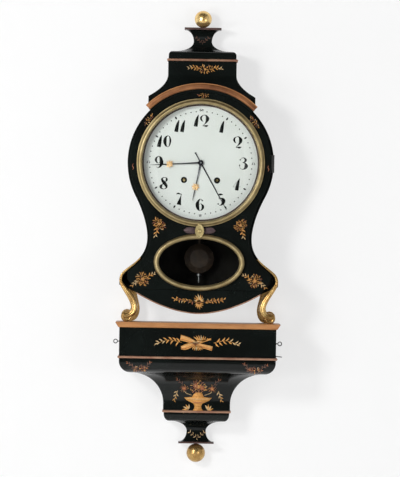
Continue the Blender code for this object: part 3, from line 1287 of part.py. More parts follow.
def make_going_train():
    """Barrel, centre, third and escape wheels, from the spring to the escapement."""
    great, centre_pinion = gear_pair(GOING_AT, 40, DIAL_AT, 10)
    centre, third_pinion = gear_pair(DIAL_AT, 36, THIRD, 6)
    third, escape_pinion = gear_pair(THIRD, 30, ESCAPE, 6)
    cannon, minute = gear_pair(DIAL_AT, 10, MINUTE_WHEEL, 30)
    minute_pinion, hour = gear_pair(MINUTE_WHEEL, 8, DIAL_AT, 32)
    drum_from = GOING_GREAT_Y + WHEEL_THICK / 2
    make_barrel("going_barrel", GOING_AT, great, GOING_GREAT_Y, drum_from, drum_from + BARREL_LENGTH)

    tip = -MINUTE_BACK - HAND_THICK - 0.002
    arbor = wheel_on_arbor("centre_arbor", DIAL_AT, centre, CENTRE_Y, front=tip)
    add_pinion(arbor, centre_pinion, GOING_GREAT_Y)
    join(arbor, prism(cannon, "Y", CANNON_Y - 0.0007, CANNON_Y + WHEEL_THICK + 0.0005))
    third_wheel = wheel_on_arbor("third_wheel", THIRD, third, THIRD_Y)
    add_pinion(third_wheel, third_pinion, CENTRE_Y)
    module = ESCAPE_RADIUS / (ESCAPE_TEETH / 2 + TOOTH_TIP_MODULES)
    escape = wheel_on_arbor("escape_wheel", ESCAPE, gear_outline(ESCAPE, ESCAPE_TEETH, module, 0.0), ESCAPE_Y)
    add_pinion(escape, escape_pinion, THIRD_Y)

    minute_origin = (MINUTE_WHEEL[0], CANNON_Y, MINUTE_WHEEL[1])
    minute_wheel = piece(
        "minute_wheel", "brass", prism(minute, "Y", CANNON_Y, CANNON_Y + WHEEL_THICK), origin=minute_origin
    )
    join(minute_wheel, prism(minute_pinion, "Y", HOUR_WHEEL_Y - 0.0006, CANNON_Y + WHEEL_THICK / 2))
    cut(minute_wheel, rod("Y", MINUTE_WHEEL, STUD + RUN, HOUR_WHEEL_Y - 0.002, CANNON_Y + 0.004))
    hour_origin = (0.0, HOUR_WHEEL_Y, DIAL_HEIGHT)
    hour_wheel = piece(
        "hour_wheel", "brass", prism(hour, "Y", HOUR_WHEEL_Y, HOUR_WHEEL_Y + WHEEL_THICK), origin=hour_origin
    )
    tube_back = HOUR_WHEEL_Y + WHEEL_THICK / 2
    join(hour_wheel, rod("Y", DIAL_AT, HOUR_TUBE, -HOUR_BACK - HAND_THICK, tube_back, BORE_STEPS))
    cut(hour_wheel, rod("Y", DIAL_AT, ARBOR + RUN, -MINUTE_BACK, HOUR_WHEEL_Y + 2 * WHEEL_THICK, BORE_STEPS))


def make_escapement():
    """Anchor with its crutch, and the pendulum that swings behind the back plate."""
    origin = (ANCHOR[0], 0.0, ANCHOR[1])
    shares = [
        (0.0, 0.15),
        (0.15, 0.11),
        (0.64, -0.36),
        (0.57, -0.58),
        (0.51, -0.55),
        (0.45, -0.38),
        (0.0, -0.16),
    ]
    half = [(ANCHOR_RISE * x, ANCHOR_RISE * z) for x, z in shares]
    outline = [(ANCHOR[0] + x, ANCHOR[1] + z) for x, z in mirrored(half)]
    pallets = prism(outline, "Y", ESCAPE_Y - RUN, ESCAPE_Y + WHEEL_THICK + RUN)
    anchor = piece("anchor", "steel", pallets, origin=origin)
    crutch_y = -BELL_DEPTH - 0.0090
    join(anchor, rod("Y", ANCHOR, ARBOR, ARBOR_FRONT, crutch_y + 0.002))
    fork = ANCHOR[1] - 0.044
    join(anchor, box_loops((-0.0016, crutch_y, fork), (0.0016, crutch_y + 0.0020, ANCHOR[1])))
    join(anchor, box_loops((-0.0052, crutch_y, fork - 0.003), (0.0052, crutch_y + 0.0020, fork + 0.002)))
    rod_half = 0.0022
    for side in (-1, 1):
        prong = (side * (rod_half + 2 * RUN + 0.0008), fork - 0.0005)
        join(anchor, rod("Y", prong, 0.0008, crutch_y + 0.001, -PENDULUM_DEPTH + 0.003, 8))

    y = -PENDULUM_DEPTH
    top = ANCHOR[1] + 0.0043
    low = (-rod_half, y - 0.0012, PENDULUM_BOB_HEIGHT - PENDULUM_BOB_RADIUS)
    pendulum = piece("pendulum", "brass", box_loops(low, (rod_half, y + 0.0012, top)), origin=origin)
    lens = [(0.12, -0.21), (0.62, -0.165), (1.0, -0.024), (1.0, 0.024), (0.62, 0.165), (0.12, 0.21)]
    bob = [(PENDULUM_BOB_RADIUS * share, y + PENDULUM_BOB_RADIUS * depth) for share, depth in lens]
    join(pendulum, turned(bob, "Y", (0.0, PENDULUM_BOB_HEIGHT), TURNED_STEPS))
    join(pendulum, rod("Z", (0.0, y), 0.0016, PENDULUM_FOOT, PENDULUM_BOB_HEIGHT))
    nut_top = PENDULUM_BOB_HEIGHT - PENDULUM_BOB_RADIUS - 0.001
    join(pendulum, rod("Z", (0.0, y), 0.0050, nut_top - 0.004, nut_top, 12))


def make_strike():
    """Strike barrel, pin wheel and fly, with the hammer and the bell they sound under the hood."""
    great, wheel_pinion = gear_pair(STRIKE_AT, 48, STRIKE_WHEEL, 6)
    wheel, fly_pinion = gear_pair(STRIKE_WHEEL, 30, STRIKE_FLY, 6)
    drum_to = STRIKE_GREAT_Y + WHEEL_THICK / 2
    make_barrel("strike_barrel", STRIKE_AT, great, STRIKE_GREAT_Y, drum_to - BARREL_LENGTH, drum_to)
    strike_wheel = wheel_on_arbor("strike_wheel", STRIKE_WHEEL, wheel, STRIKE_WHEEL_Y)
    add_pinion(strike_wheel, wheel_pinion, STRIKE_GREAT_Y)
    vane = 0.012
    vane_back = STRIKE_WHEEL_Y - 0.0035
    vane_low = (STRIKE_FLY[0] - vane, vane_back - 0.014, STRIKE_FLY[1] - FLY_VANE_THICK / 2)
    vane_high = (STRIKE_FLY[0] + vane, vane_back, STRIKE_FLY[1] + FLY_VANE_THICK / 2)
    fly_origin = (STRIKE_FLY[0], vane_back, STRIKE_FLY[1])
    fly = piece("strike_fly", "brass", box_loops(vane_low, vane_high), origin=fly_origin)
    join(fly, rod("Y", STRIKE_FLY, ARBOR, ARBOR_FRONT, ARBOR_BACK))
    add_pinion(fly, fly_pinion, STRIKE_WHEEL_Y)

    head_radius = 0.005
    head_at = (BELL_AT - BELL_RADIUS - head_radius - 0.0015, BELL_HEIGHT + 0.004)
    y = -BELL_DEPTH
    along = (Vector(head_at) - Vector(HAMMER)).normalized()
    across = Vector((along.y, -along.x)) * 0.0015
    bar = [tuple(Vector(p) + across * s) for p, s in ((HAMMER, 1), (head_at, 1), (head_at, -1), (HAMMER, -1))]
    hammer_origin = (HAMMER[0], y, HAMMER[1])
    hammer = piece("strike_hammer", "steel", prism(bar, "Y", y - 0.0012, y + 0.0012), origin=hammer_origin)
    join(hammer, rod("Y", head_at, head_radius, y - 0.004, y + 0.004, BORE_STEPS))
    join(hammer, rod("Y", HAMMER, ARBOR, ARBOR_FRONT, y + 0.002))
    tail = Vector(HAMMER) + Vector((-0.006, -0.017))
    tail_bar = [(HAMMER[0] - 0.0015, HAMMER[1]), (tail.x - 0.001, tail.y), (tail.x + 0.001, tail.y)]
    tail_bar.append((HAMMER[0] + 0.0015, HAMMER[1]))
    join(hammer, prism(tail_bar, "Y", STRIKE_WHEEL_Y + 0.0045, STRIKE_WHEEL_Y + 0.0065))

    foot = ANCHOR[1] - 0.004
    post = 0.0025
    crown = BELL_HEIGHT + 0.74 * BELL_RADIUS
    profile = [
        (post, foot),
        (post, crown - 0.0030),
        (0.38 * BELL_RADIUS, crown - 0.0032),
        (0.80 * BELL_RADIUS, crown - 0.0105),
        (0.955 * BELL_RADIUS, BELL_HEIGHT),
        (BELL_RADIUS, BELL_HEIGHT),
        (0.84 * BELL_RADIUS, crown - 0.0090),
        (0.40 * BELL_RADIUS, crown - 0.0012),
        (2 * post, crown),
        (2 * post, crown + 0.005),
        (0.6 * post, crown + 0.006),
    ]
    bell = piece("bell", "bell_metal", turned(profile, "Z", (BELL_AT, y), TURNED_STEPS))
    bracket_low = (BELL_AT - 0.004, -BACK_REAR + SEAT, foot + 0.0005)
    join(bell, box_loops(bracket_low, (BELL_AT + 0.004, y, foot + 0.010)))


def main():
    """Clears the scene and builds the clock on its bracket."""
    for old in list(bpy.data.objects):
        bpy.data.objects.remove(old, do_unlink=True)
    make_bracket()
    make_side_door(-1, "left")
    make_side_door(1, "right")
    make_music_lever()
    make_music_frame()
    make_music_train()
    make_bell_nest()
    make_music_hammer(1, "bass")
    make_music_hammer(3, "treble")
    make_case()
    make_hood()
    make_legs()
    make_door()
    make_door_catch()
    make_dial()
    make_hands()
    make_plates()
    make_going_train()
    make_escapement()
    make_strike()


main()
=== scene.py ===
"""Looks of a musical bracket clock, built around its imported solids.

Metres, +Z up. The dial faces -Y, the wall is Y = 0 and the origin lies on the back of the bracket box. Each
sub-assembly is a class that holds its sizes, builds its meshes with bmesh operators and dresses them.
"""

import logging
import random
from collections.abc import Callable, Iterable, Sequence
from dataclasses import dataclass
from enum import Enum
from math import atan2, cos, degrees, pi, radians, sin, sqrt, tau

import bmesh
import bpy
from mathutils import Matrix, Vector

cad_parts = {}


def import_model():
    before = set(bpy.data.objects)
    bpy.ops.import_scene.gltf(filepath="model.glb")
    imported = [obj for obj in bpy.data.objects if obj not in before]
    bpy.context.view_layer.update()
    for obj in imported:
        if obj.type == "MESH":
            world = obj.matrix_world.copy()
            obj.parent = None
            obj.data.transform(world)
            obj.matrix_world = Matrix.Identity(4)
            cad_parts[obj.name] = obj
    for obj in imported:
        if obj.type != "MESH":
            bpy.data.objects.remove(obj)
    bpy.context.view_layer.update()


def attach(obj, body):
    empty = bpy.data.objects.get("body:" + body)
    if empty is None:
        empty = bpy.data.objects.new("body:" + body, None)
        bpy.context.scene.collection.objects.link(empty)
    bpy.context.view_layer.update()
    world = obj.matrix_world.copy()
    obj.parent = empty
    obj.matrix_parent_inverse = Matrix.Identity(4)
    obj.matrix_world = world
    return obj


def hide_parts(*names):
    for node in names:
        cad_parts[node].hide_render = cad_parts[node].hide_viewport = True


LOG = logging.getLogger("bracket_clock")
Point = tuple[float, float]
Points = Sequence[Point]
Knots = Sequence[Sequence[float]]
Colour = tuple[float, float, float]
Surface = Callable[[float, float], Vector]
Piece = bpy.types.Object
Material = bpy.types.Material
Tree = bpy.types.NodeTree
Node = bpy.types.Node
Socket = bpy.types.NodeSocket
Face = bmesh.types.BMFace

ROOT = "bracket_and_case"
DOOR = "front_door"
HOOD = "lift_off_hood"
SEAT = 0.0003  # gap between two pieces that rest on each other
WELD = 1e-6
CREASE = radians(17)  # a sharper edge stays an edge in the shading
DIAL_HEIGHT = 0.403
DOOR_BACK = 0.1403
DOOR_FACE = 0.158
CASE_FRONT = 0.140
CASE_RADIUS = 0.164
CLOCK_BACK = 0.006
BRACKET_MARGIN = 0.0045
HOOD_MARGIN = 0.0135
PAINT_LIFT = 0.00012
PAINT_THICK = 0.00016


class Axis(Enum):
    """Directions that turned and extruded forms follow."""

    X = (1.0, 0.0, 0.0)
    Y = (0.0, 1.0, 0.0)
    Z = (0.0, 0.0, 1.0)

    @property
    def vector(self) -> Vector:
        """The axis as a vector."""
        return Vector(self.value)


class Side(Enum):
    """Left or right half of the clock, seen from the front."""

    LEFT = -1
    RIGHT = 1


def lerp(start: float, end: float, share: float) -> float:
    """Value at a share of the way from start to end."""
    return start + (end - start) * share


def shares(steps: int) -> list[float]:
    """Even shares from none to all, both included."""
    return [step / steps for step in range(steps + 1)]


def sweep(angle: float, steps: int) -> list[float]:
    """Even angles from zero to an angle, both included."""
    return [angle * step / steps for step in range(steps + 1)]


def quarter(steps: int) -> list[float]:
    """Angles of a quarter turn, both ends included."""
    return sweep(pi / 2, steps)


def circle(steps: int) -> list[float]:
    """Angles of a full turn, without its end."""
    return sweep(tau, steps)[:-1]


def arc(centre: Point, radius: float, start: float, end: float, steps: int) -> list[Point]:
    """Points of an arc between two angles, both ends included."""
    turns = [lerp(start, end, share) for share in shares(steps)]
    return [(centre[0] + radius * cos(t), centre[1] + radius * sin(t)) for t in turns]


def bezier(points: Points, steps: int) -> list[Point]:
    """Points of a cubic curve through four control points, both ends included.

    Args:
        points: Four control points.
        steps: Number of segments.

    Returns:
        The points in order.
    """
    curve = []
    for t in shares(steps):
        weights = ((1 - t) ** 3, 3 * t * (1 - t) ** 2, 3 * t**2 * (1 - t), t**3)
        curve.append(tuple(sum(w * p[i] for w, p in zip(weights, points)) for i in range(2)))
    return curve


def smooth_line(knots: Knots, steps: int = 6) -> list[tuple[float, ...]]:
    """A smooth line through knots of any number of values.

    Args:
        knots: Values that the line passes through.
        steps: Segments between two knots.

    Returns:
        The finer list of values.
    """
    line = []
    last = len(knots) - 1
    for i in range(last):
        before, start, end, after = (knots[min(max(i + k, 0), last)] for k in (-1, 0, 1, 2))
        for t in shares(steps)[:-1]:
            weights = (
                (-t + 2 * t**2 - t**3) / 2,
                (2 - 5 * t**2 + 3 * t**3) / 2,
                (t + 4 * t**2 - 3 * t**3) / 2,
                (t**3 - t**2) / 2,
            )
            columns = zip(before, start, end, after)
            line.append(tuple(sum(w * v for w, v in zip(weights, values)) for values in columns))
    line.append(tuple(knots[-1]))
    return line


def headings(line: Knots) -> list[Vector]:
    """Unit direction of a flat line at each of its points.

    Args:
        line: Its points, of two values or more.

    Returns:
        The directions.
    """
    last = len(line) - 1
    pairs = [(line[max(i - 1, 0)], line[min(i + 1, last)]) for i in range(last + 1)]
    return [Vector((after[0] - before[0], after[1] - before[1])).normalized() for before, after in pairs]


def mirrored(right: Points) -> list[Point]:
    """A closed outline from its right half, whose ends may lie on the centre line."""
    return list(right) + [(-x, z) for x, z in reversed(right) if abs(x) > SEAT]


class Shape:
    """A mesh under construction, with the operations that the clock's pieces need."""

    def __init__(self) -> None:
        """Starts with an empty mesh."""
        self.bm = bmesh.new()

    def face(self, points: Iterable[Vector]) -> Face:
        """Adds one flat face with the given corners."""
        return self.bm.faces.new([self.bm.verts.new(point) for point in points])

    def wire(self, points: Iterable[Vector], closed: bool = False) -> list[bmesh.types.BMEdge]:
        """Adds a line of edges.

        Args:
            points: Its points in order.
            closed: Whether the last point joins the first.

        Returns:
            The new edges.
        """
        verts = [self.bm.verts.new(point) for point in points]
        pairs = list(zip(verts, verts[1:]))
        if closed:
            pairs.append((verts[-1], verts[0]))
        return [self.bm.edges.new(pair) for pair in pairs]

    def extrude(self, faces: Sequence[Face], move: Vector) -> list[Face]:
        """Pulls faces along a vector, and takes them away where they already close a form.

        Args:
            faces: The faces to pull.
            move: How far and where to.

        Returns:
            The faces at the far end.
        """
        region = set(faces)
        edges = {edge for face in region for edge in face.edges}
        closing = any(face not in region for edge in edges for face in edge.link_faces)
        made = bmesh.ops.extrude_face_region(self.bm, geom=list(faces))["geom"]
        if closing:
            bmesh.ops.delete(self.bm, geom=[face for face in region if face.is_valid], context="FACES_ONLY")
        verts = [item for item in made if isinstance(item, bmesh.types.BMVert)]
        bmesh.ops.translate(self.bm, vec=move, verts=verts)
        return [item for item in made if isinstance(item, Face)]

    def plate(self, outline: Points, start: float, end: float) -> list[Face]:
        """Adds an upright plate with an (x, z) outline between two depths, and gives its far faces."""
        first = self.face(Vector((x, start, z)) for x, z in outline)
        return self.extrude([first], Vector((0, end - start, 0)))

    def pierced_plate(
        self, outline: Points, holes: Sequence[Points], start: float, end: float
    ) -> None:
        """Adds an upright plate with holes.

        Args:
            outline: Outer outline in (x, z).
            holes: Outlines of the holes.
            start: Depth of one face along Y.
            end: Depth of the other.
        """
        edges = []
        for loop in (outline, *holes):
            edges += self.wire((Vector((x, start, z)) for x, z in loop), closed=True)
        made = bmesh.ops.triangle_fill(self.bm, edges=edges, use_beauty=True, use_dissolve=False)["geom"]
        faces = [item for item in made if isinstance(item, Face)]
        self.extrude(faces, Vector((0, end - start, 0)))

    def stack(self, levels: Points, back: float, margin: float) -> None:
        """Adds a mitred form with a flat back, one extrusion for each level.

        Args:
            levels: (height, half-width) pairs in order.
            back: Depth of the flat back along Y.
            margin: How much further the front stands than a half-width.
        """
        height, half = levels[0]
        front = back - half - margin
        corners = ((-half, front), (half, front), (half, back), (-half, back))
        top = [self.face(Vector((x, y, height)) for x, y in corners)]
        about = Matrix.Translation((0, -back, 0))
        for (low, narrow), (high, wide) in zip(levels, levels[1:]):
            top = self.extrude(top, Vector((0, 0, high - low)))
            grow = Vector((wide / narrow, (wide + margin) / (narrow + margin), 1))
            verts = list({vert for face in top for vert in face.verts})
            bmesh.ops.scale(self.bm, vec=grow, space=about, verts=verts)

    def lathe(self, profile: Points, axis: Axis, centre: Vector, steps: int = 96) -> None:
        """Turns a profile about an axis.

        Args:
            profile: (radius, place along the axis) pairs.
            axis: Axis of the turned form, Y or Z.
            centre: A point on the axis, at place zero.
            steps: Segments of a full turn.
        """
        line = self.wire(centre + Axis.X.vector * out + axis.vector * along for out, along in profile)
        verts = list({vert for edge in line for vert in edge.verts})
        turn = {"cent": centre, "axis": axis.vector, "angle": tau, "steps": steps, "use_merge": True}
        bmesh.ops.spin(self.bm, geom=verts + line, **turn)
        bmesh.ops.remove_doubles(self.bm, verts=self.bm.verts, dist=WELD)

    def tube(self, path: Sequence[Vector], radii: Points, up: Vector, sides: int = 12) -> None:
        """Adds a closed tube of changing section along a path.

        Args:
            path: Points of its centre line.
            radii: Half-width across and half-width along up at each point.
            up: Direction that stays upright in the section.
            sides: Sides of the section.
        """
        places = []
        for i, point in enumerate(path):
            along = (path[min(i + 1, len(path) - 1)] - path[max(i - 1, 0)]).normalized()
            across = along.cross(up).normalized()
            rise = across.cross(along)
            turn = Matrix((across * radii[i][0], rise * radii[i][1], along)).transposed().to_4x4()
            places.append(Matrix.Translation(point) @ turn)
        start = bmesh.ops.create_circle(self.bm, cap_ends=True, segments=sides, radius=1, matrix=places[0])
        tip = [face for face in start["verts"][0].link_faces if len(face.verts) == sides]
        for before, after in zip(places, places[1:]):
            tip = self.extrude(tip, Vector())
            moved = list({vert for face in tip for vert in face.verts})
            bmesh.ops.transform(self.bm, matrix=after @ before.inverted(), verts=moved)

    def skin(self, loops: Sequence[Sequence[Vector]]) -> list[list[bmesh.types.BMVert]]:
        """Joins closed loops of equal length into an open skin.

        Args:
            loops: The loops in order, point for point.

        Returns:
            The points of each loop.
        """
        rows = [[self.bm.verts.new(point) for point in loop] for loop in loops]
        self.join_rows(rows)
        return rows

    def join_rows(self, rows: Sequence[Sequence[bmesh.types.BMVert]]) -> None:
        """Adds the faces between neighbouring closed rows of points."""
        for near, far in zip(rows, rows[1:]):
            for i, point in enumerate(near):
                self.bm.faces.new((near[i - 1], point, far[i], far[i - 1]))

    def loft(self, loops: Sequence[Sequence[Vector]]) -> None:
        """Joins closed loops of equal length into a solid with flat ends."""
        rows = self.skin(loops)
        self.bm.faces.new(rows[0])
        self.bm.faces.new(rows[-1])

    def oval_ring(self, profile: Points, centre: Vector, halves: Point, steps: int = 112) -> None:
        """Adds a ring of constant section round an upright ellipse.

        Args:
            profile: Closed section as (distance outside the ellipse, depth along Y) pairs.
            centre: Middle of the ellipse.
            halves: Half-width and half-height of the ellipse.
            steps: Segments round the ring.
        """
        turns = circle(steps)
        loops = []
        for out, depth in profile:
            wide, tall = halves[0] + out, halves[1] + out
            loops.append([centre + Vector((wide * cos(t), depth, tall * sin(t))) for t in turns])
        rows = self.skin(loops)
        self.join_rows((rows[-1], rows[0]))

    def soften(self, width: float, segments: int = 2, least: float = radians(35)) -> None:
        """Rounds every edge that is sharper than an angle.

        Args:
            width: Width of the rounding.
            segments: Its segments.
            least: Smallest angle between two faces that counts as an edge.
        """
        sharp = [edge for edge in self.bm.edges if edge.is_manifold and edge.calc_face_angle(0.0) > least]
        form = {"offset": width, "segments": segments, "profile": 0.5, "clamp_overlap": True}
        bmesh.ops.bevel(self.bm, geom=sharp, affect="EDGES", material=-1, **form)

    def done(self, name: str, closed: bool = True) -> Piece:
        """Finishes the mesh and links its object at the origin.

        Args:
            name: Name of the piece.
            closed: Whether the form encloses a solid, so that its faces can be turned outwards.

        Returns:
            The new object.
        """
        if closed:
            bmesh.ops.recalc_face_normals(self.bm, faces=self.bm.faces)
        mesh = bpy.data.meshes.new(name)
        self.bm.to_mesh(mesh)
        self.bm.free()
        mesh.shade_smooth()
        mesh.set_sharp_from_angle(angle=CREASE)
        made = bpy.data.objects.new(name, mesh)
        bpy.context.scene.collection.objects.link(made)
        return made


COAT_POLISH = 0.08
RELIEF_DEPTH = 0.0006
CLOUD_DETAIL = 4.0
CLOUD_SPAN = (0.36, 0.64)
SPOT_DETAIL = 8.0
SPOT_SCALE = 3.7  # against the scale of the clouds
SPOT_LEVEL = 0.78
SPOT_GAIN = 0.5
SPOT_EDGE = 0.07
SPOT_DULLNESS = 0.3
POLISH_SPAN = (0.3, 0.7)


def new_group(name: str, inputs: dict[str, str], outputs: dict[str, str]) -> Tree:
    """An empty shader node group with named sockets.

    Args:
        name: Name of the group.
        inputs: Socket types by input name.
        outputs: Socket types by output name.

    Returns:
        The group's node tree.
    """
    tree = bpy.data.node_groups.new(name, "ShaderNodeTree")
    for way, sockets in (("INPUT", inputs), ("OUTPUT", outputs)):
        for socket, kind in sockets.items():
            tree.interface.new_socket(socket, in_out=way, socket_type="NodeSocket" + kind)
    tree.nodes.new("NodeGroupInput")
    tree.nodes.new("NodeGroupOutput")
    return tree


def set_inputs(node: Node, values: dict[str, float | Sequence[float]]) -> None:
    """Sets inputs of a node by name."""
    for socket, value in values.items():
        node.inputs[socket].default_value = value


def noise(tree: Tree, vector: Socket, detail: float) -> Node:
    """A noise texture fed by a vector, with its scale left open."""
    node = tree.nodes.new("ShaderNodeTexNoise")
    set_inputs(node, {"Detail": detail})
    tree.links.new(vector, node.inputs["Vector"])
    return node


def remap(tree: Tree, value: Socket, span: Point) -> Node:
    """A map range node that stretches a span of a value to the unit range."""
    node = tree.nodes.new("ShaderNodeMapRange")
    set_inputs(node, {"From Min": span[0], "From Max": span[1]})
    tree.links.new(value, node.inputs["Value"])
    return node


def blend_colours(tree: Tree, share: Socket, first: Socket, second: Socket) -> Socket:
    """The colour between two colours at a share."""
    node = tree.nodes.new("ShaderNodeMix")
    node.data_type = "RGBA"
    for source, socket in ((share, "Factor"), (first, "A"), (second, "B")):
        tree.links.new(source, node.inputs[socket])
    return node.outputs["Result"]


def blend_shaders(tree: Tree, share: Socket, first: Socket, second: Socket) -> None:
    """Gives the material the shader between two shaders at a share."""
    mix = tree.nodes.new("ShaderNodeMixShader")
    for source, socket in ((share, 0), (first, 1), (second, 2)):
        tree.links.new(source, mix.inputs[socket])
    tree.links.new(mix.outputs["Shader"], tree.nodes["Material Output"].inputs["Surface"])


def arithmetic(tree: Tree, operation: str, first: Socket, second: Socket | float) -> Socket:
    """The result of one sum on a value and a value or number."""
    node = tree.nodes.new("ShaderNodeMath")
    node.operation = operation
    tree.links.new(first, node.inputs[0])
    if isinstance(second, float):
        node.inputs[1].default_value = second
    else:
        tree.links.new(second, node.inputs[1])
    return node.outputs[0]


def aged_surface() -> Tree:
    """The group for an old surface: colours drift, worn spots show the ground, and the polish varies.

    Returns:
        The group, made once.
    """
    name = "Aged Surface"
    if name in bpy.data.node_groups:
        return bpy.data.node_groups[name]
    inputs = {"Vector": "Vector", "Colour": "Color", "Drift": "Color", "Ground": "Color"}
    inputs |= {"Scale": "Float", "Wear": "Float", "Smooth": "Float", "Rough": "Float"}
    tree = new_group(name, inputs, {"Colour": "Color", "Roughness": "Float", "Height": "Float"})
    link = tree.links.new
    given = tree.nodes["Group Input"].outputs
    result = tree.nodes["Group Output"].inputs
    broad = noise(tree, given["Vector"], CLOUD_DETAIL)
    fine = noise(tree, given["Vector"], SPOT_DETAIL)
    link(given["Scale"], broad.inputs["Scale"])
    link(arithmetic(tree, "MULTIPLY", given["Scale"], SPOT_SCALE), fine.inputs["Scale"])
    cloud = remap(tree, broad.outputs["Fac"], CLOUD_SPAN).outputs["Result"]
    spots = remap(tree, fine.outputs["Fac"], (0.0, 1.0))
    low = arithmetic(tree, "SUBTRACT", arithmetic(tree, "MULTIPLY", given["Wear"], -SPOT_GAIN), -SPOT_LEVEL)
    link(low, spots.inputs["From Min"])
    link(arithmetic(tree, "ADD", low, SPOT_EDGE), spots.inputs["From Max"])
    worn = spots.outputs["Result"]
    body = blend_colours(tree, cloud, given["Colour"], given["Drift"])
    link(blend_colours(tree, worn, body, given["Ground"]), result["Colour"])
    polish = remap(tree, fine.outputs["Fac"], POLISH_SPAN)
    link(given["Smooth"], polish.inputs["To Min"])
    link(given["Rough"], polish.inputs["To Max"])
    dull = arithmetic(tree, "MULTIPLY", worn, SPOT_DULLNESS)
    link(arithmetic(tree, "ADD", polish.outputs["Result"], dull), result["Roughness"])
    link(arithmetic(tree, "SUBTRACT", fine.outputs["Fac"], worn), result["Height"])
    return tree


@dataclass(frozen=True)
class Look:
    """A surface of the clock and the name of its slot."""

    name: str
    slot: str

    def material(self) -> Material:
        """The material of the look, made once.

        Returns:
            The material.
        """
        name = self.name + "_finish"
        if name in bpy.data.materials:
            return bpy.data.materials[name]
        made = bpy.data.materials.new(name)
        made.use_nodes = True
        self.shade(made.node_tree, made.node_tree.nodes["Principled BSDF"])
        return made

    def shade(self, tree: Tree, shader: Node) -> None:
        """Fills the node tree of the new material round its main shader."""
        raise NotImplementedError


@dataclass(frozen=True)
class Finish(Look):
    """An aged opaque surface.

    The colour drifts towards a second one, and worn spots show a ground colour.
    """

    colour: Colour
    drift: Colour
    ground: Colour
    wear: float
    metallic: float
    polish: Point
    scale: float = 40.0
    stretch: tuple[float, float, float] = (1.0, 1.0, 1.0)
    bump: float = 0.08
    coat: float = 0.0
    specular: float = 0.5

    def shade(self, tree: Tree, shader: Node) -> None:
        """Puts the aged surface and a slight relief before the main shader.

        Args:
            tree: Node tree of the new material.
            shader: Its main shader.
        """
        set_inputs(shader, {"Metallic": self.metallic, "Specular IOR Level": self.specular})
        set_inputs(shader, {"Coat Weight": self.coat, "Coat Roughness": COAT_POLISH})
        link = tree.links.new
        place = tree.nodes.new("ShaderNodeTexCoord")
        spread = tree.nodes.new("ShaderNodeMapping")
        set_inputs(spread, {"Scale": self.stretch})
        link(place.outputs["Object"], spread.inputs["Vector"])
        aged = tree.nodes.new("ShaderNodeGroup")
        aged.node_tree = aged_surface()
        link(spread.outputs["Vector"], aged.inputs["Vector"])
        for socket, colour in (("Colour", self.colour), ("Drift", self.drift), ("Ground", self.ground)):
            set_inputs(aged, {socket: (*colour, 1.0)})
        set_inputs(aged, {"Scale": self.scale, "Wear": self.wear})
        set_inputs(aged, {"Smooth": self.polish[0], "Rough": self.polish[1]})
        relief = tree.nodes.new("ShaderNodeBump")
        set_inputs(relief, {"Strength": self.bump, "Distance": RELIEF_DEPTH})
        link(aged.outputs["Height"], relief.inputs["Height"])
        link(aged.outputs["Colour"], shader.inputs["Base Color"])
        link(aged.outputs["Roughness"], shader.inputs["Roughness"])
        link(relief.outputs["Normal"], shader.inputs["Normal"])


@dataclass(frozen=True)
class Glass(Look):
    """Thin old window glass, faintly green, that lets the light through to what it covers."""

    colour: Colour
    bend: float = 1.45
    specular: float = 0.2
    smear_scale: float = 22.0
    smear_detail: float = 2.0
    smear_span: Point = (0.4, 0.8)
    smear_rough: float = 0.03

    def shade(self, tree: Tree, shader: Node) -> None:
        """Makes the main shader glass, and clear to shadows and scattered light.

        Args:
            tree: Node tree of the new material.
            shader: Its main shader.
        """
        tint = (*self.colour, 1.0)
        set_inputs(shader, {"Base Color": tint, "IOR": self.bend})
        set_inputs(shader, {"Specular IOR Level": self.specular, "Transmission Weight": 1.0})
        place = tree.nodes.new("ShaderNodeTexCoord")
        smears = noise(tree, place.outputs["Object"], self.smear_detail)
        set_inputs(smears, {"Scale": self.smear_scale})
        polish = remap(tree, smears.outputs["Fac"], self.smear_span)
        set_inputs(polish, {"To Max": self.smear_rough})
        tree.links.new(polish.outputs["Result"], shader.inputs["Roughness"])
        clear = tree.nodes.new("ShaderNodeBsdfTransparent")
        set_inputs(clear, {"Color": tint})
        light = tree.nodes.new("ShaderNodeLightPath").outputs
        either = arithmetic(tree, "MAXIMUM", light["Is Shadow Ray"], light["Is Diffuse Ray"])
        blend_shaders(tree, either, shader.outputs["BSDF"], clear.outputs["BSDF"])


BRUSHWORK = 260.0
BOLE = (0.22, 0.05, 0.02)
SMOKE = (0.05, 0.03, 0.015)
LACQUER = Finish(
    "black_lacquer", "black_lacquer", (0.0045, 0.0055, 0.0048), (0.007, 0.0095, 0.0085), (0.03, 0.02, 0.012),
    0.02, 0.0, (0.10, 0.20), scale=9.0, bump=0.02, coat=0.08, specular=0.22,
)
GILT = Finish(
    "gilt_wood", "gilt_wood", (0.60, 0.40, 0.15), (0.40, 0.23, 0.075), BOLE,
    0.16, 0.85, (0.22, 0.4), scale=55.0,
)
# A brighter, glossier copy of the gilt for the hood's ball: painted light; the bracket's ball keeps the plain
# gilt.
LIT_BALL_GILT = Finish(
    "lit_ball_gilt", "gilt_wood", (0.93, 0.68, 0.30), (0.80, 0.50, 0.17), BOLE,
    0.08, 0.8, (0.16, 0.34), scale=55.0,
)
# Orange gilt of the shelf's edge; on the lip along the arch it stands for a painted highlight.
EDGE_GILT_AND_HIGHLIGHT = Finish(
    "edge_gilt_and_highlight", "gilt_wood", (0.55, 0.25, 0.085), (0.38, 0.155, 0.05), BOLE,
    0.16, 0.15, (0.32, 0.5), scale=40.0, stretch=(0.35, 1.0, 1.0),
)
COPPER = Finish(
    "copper_gilt", "copper_gilt", (0.38, 0.165, 0.065), (0.21, 0.08, 0.032), BOLE,
    0.2, 0.6, (0.3, 0.5), scale=24.0,
)
HAND_GILT = Finish(
    "hand_gilt", "copper_gilt", (0.80, 0.44, 0.16), (0.72, 0.50, 0.27), BOLE,
    0.06, 0.25, (0.35, 0.5), scale=240.0,
)
DULL_COPPER = Finish(
    "dull_copper_gilt", "copper_gilt", (0.46, 0.27, 0.175), (0.33, 0.16, 0.10), SMOKE,
    0.15, 0.4, (0.3, 0.5), scale=45.0,
)
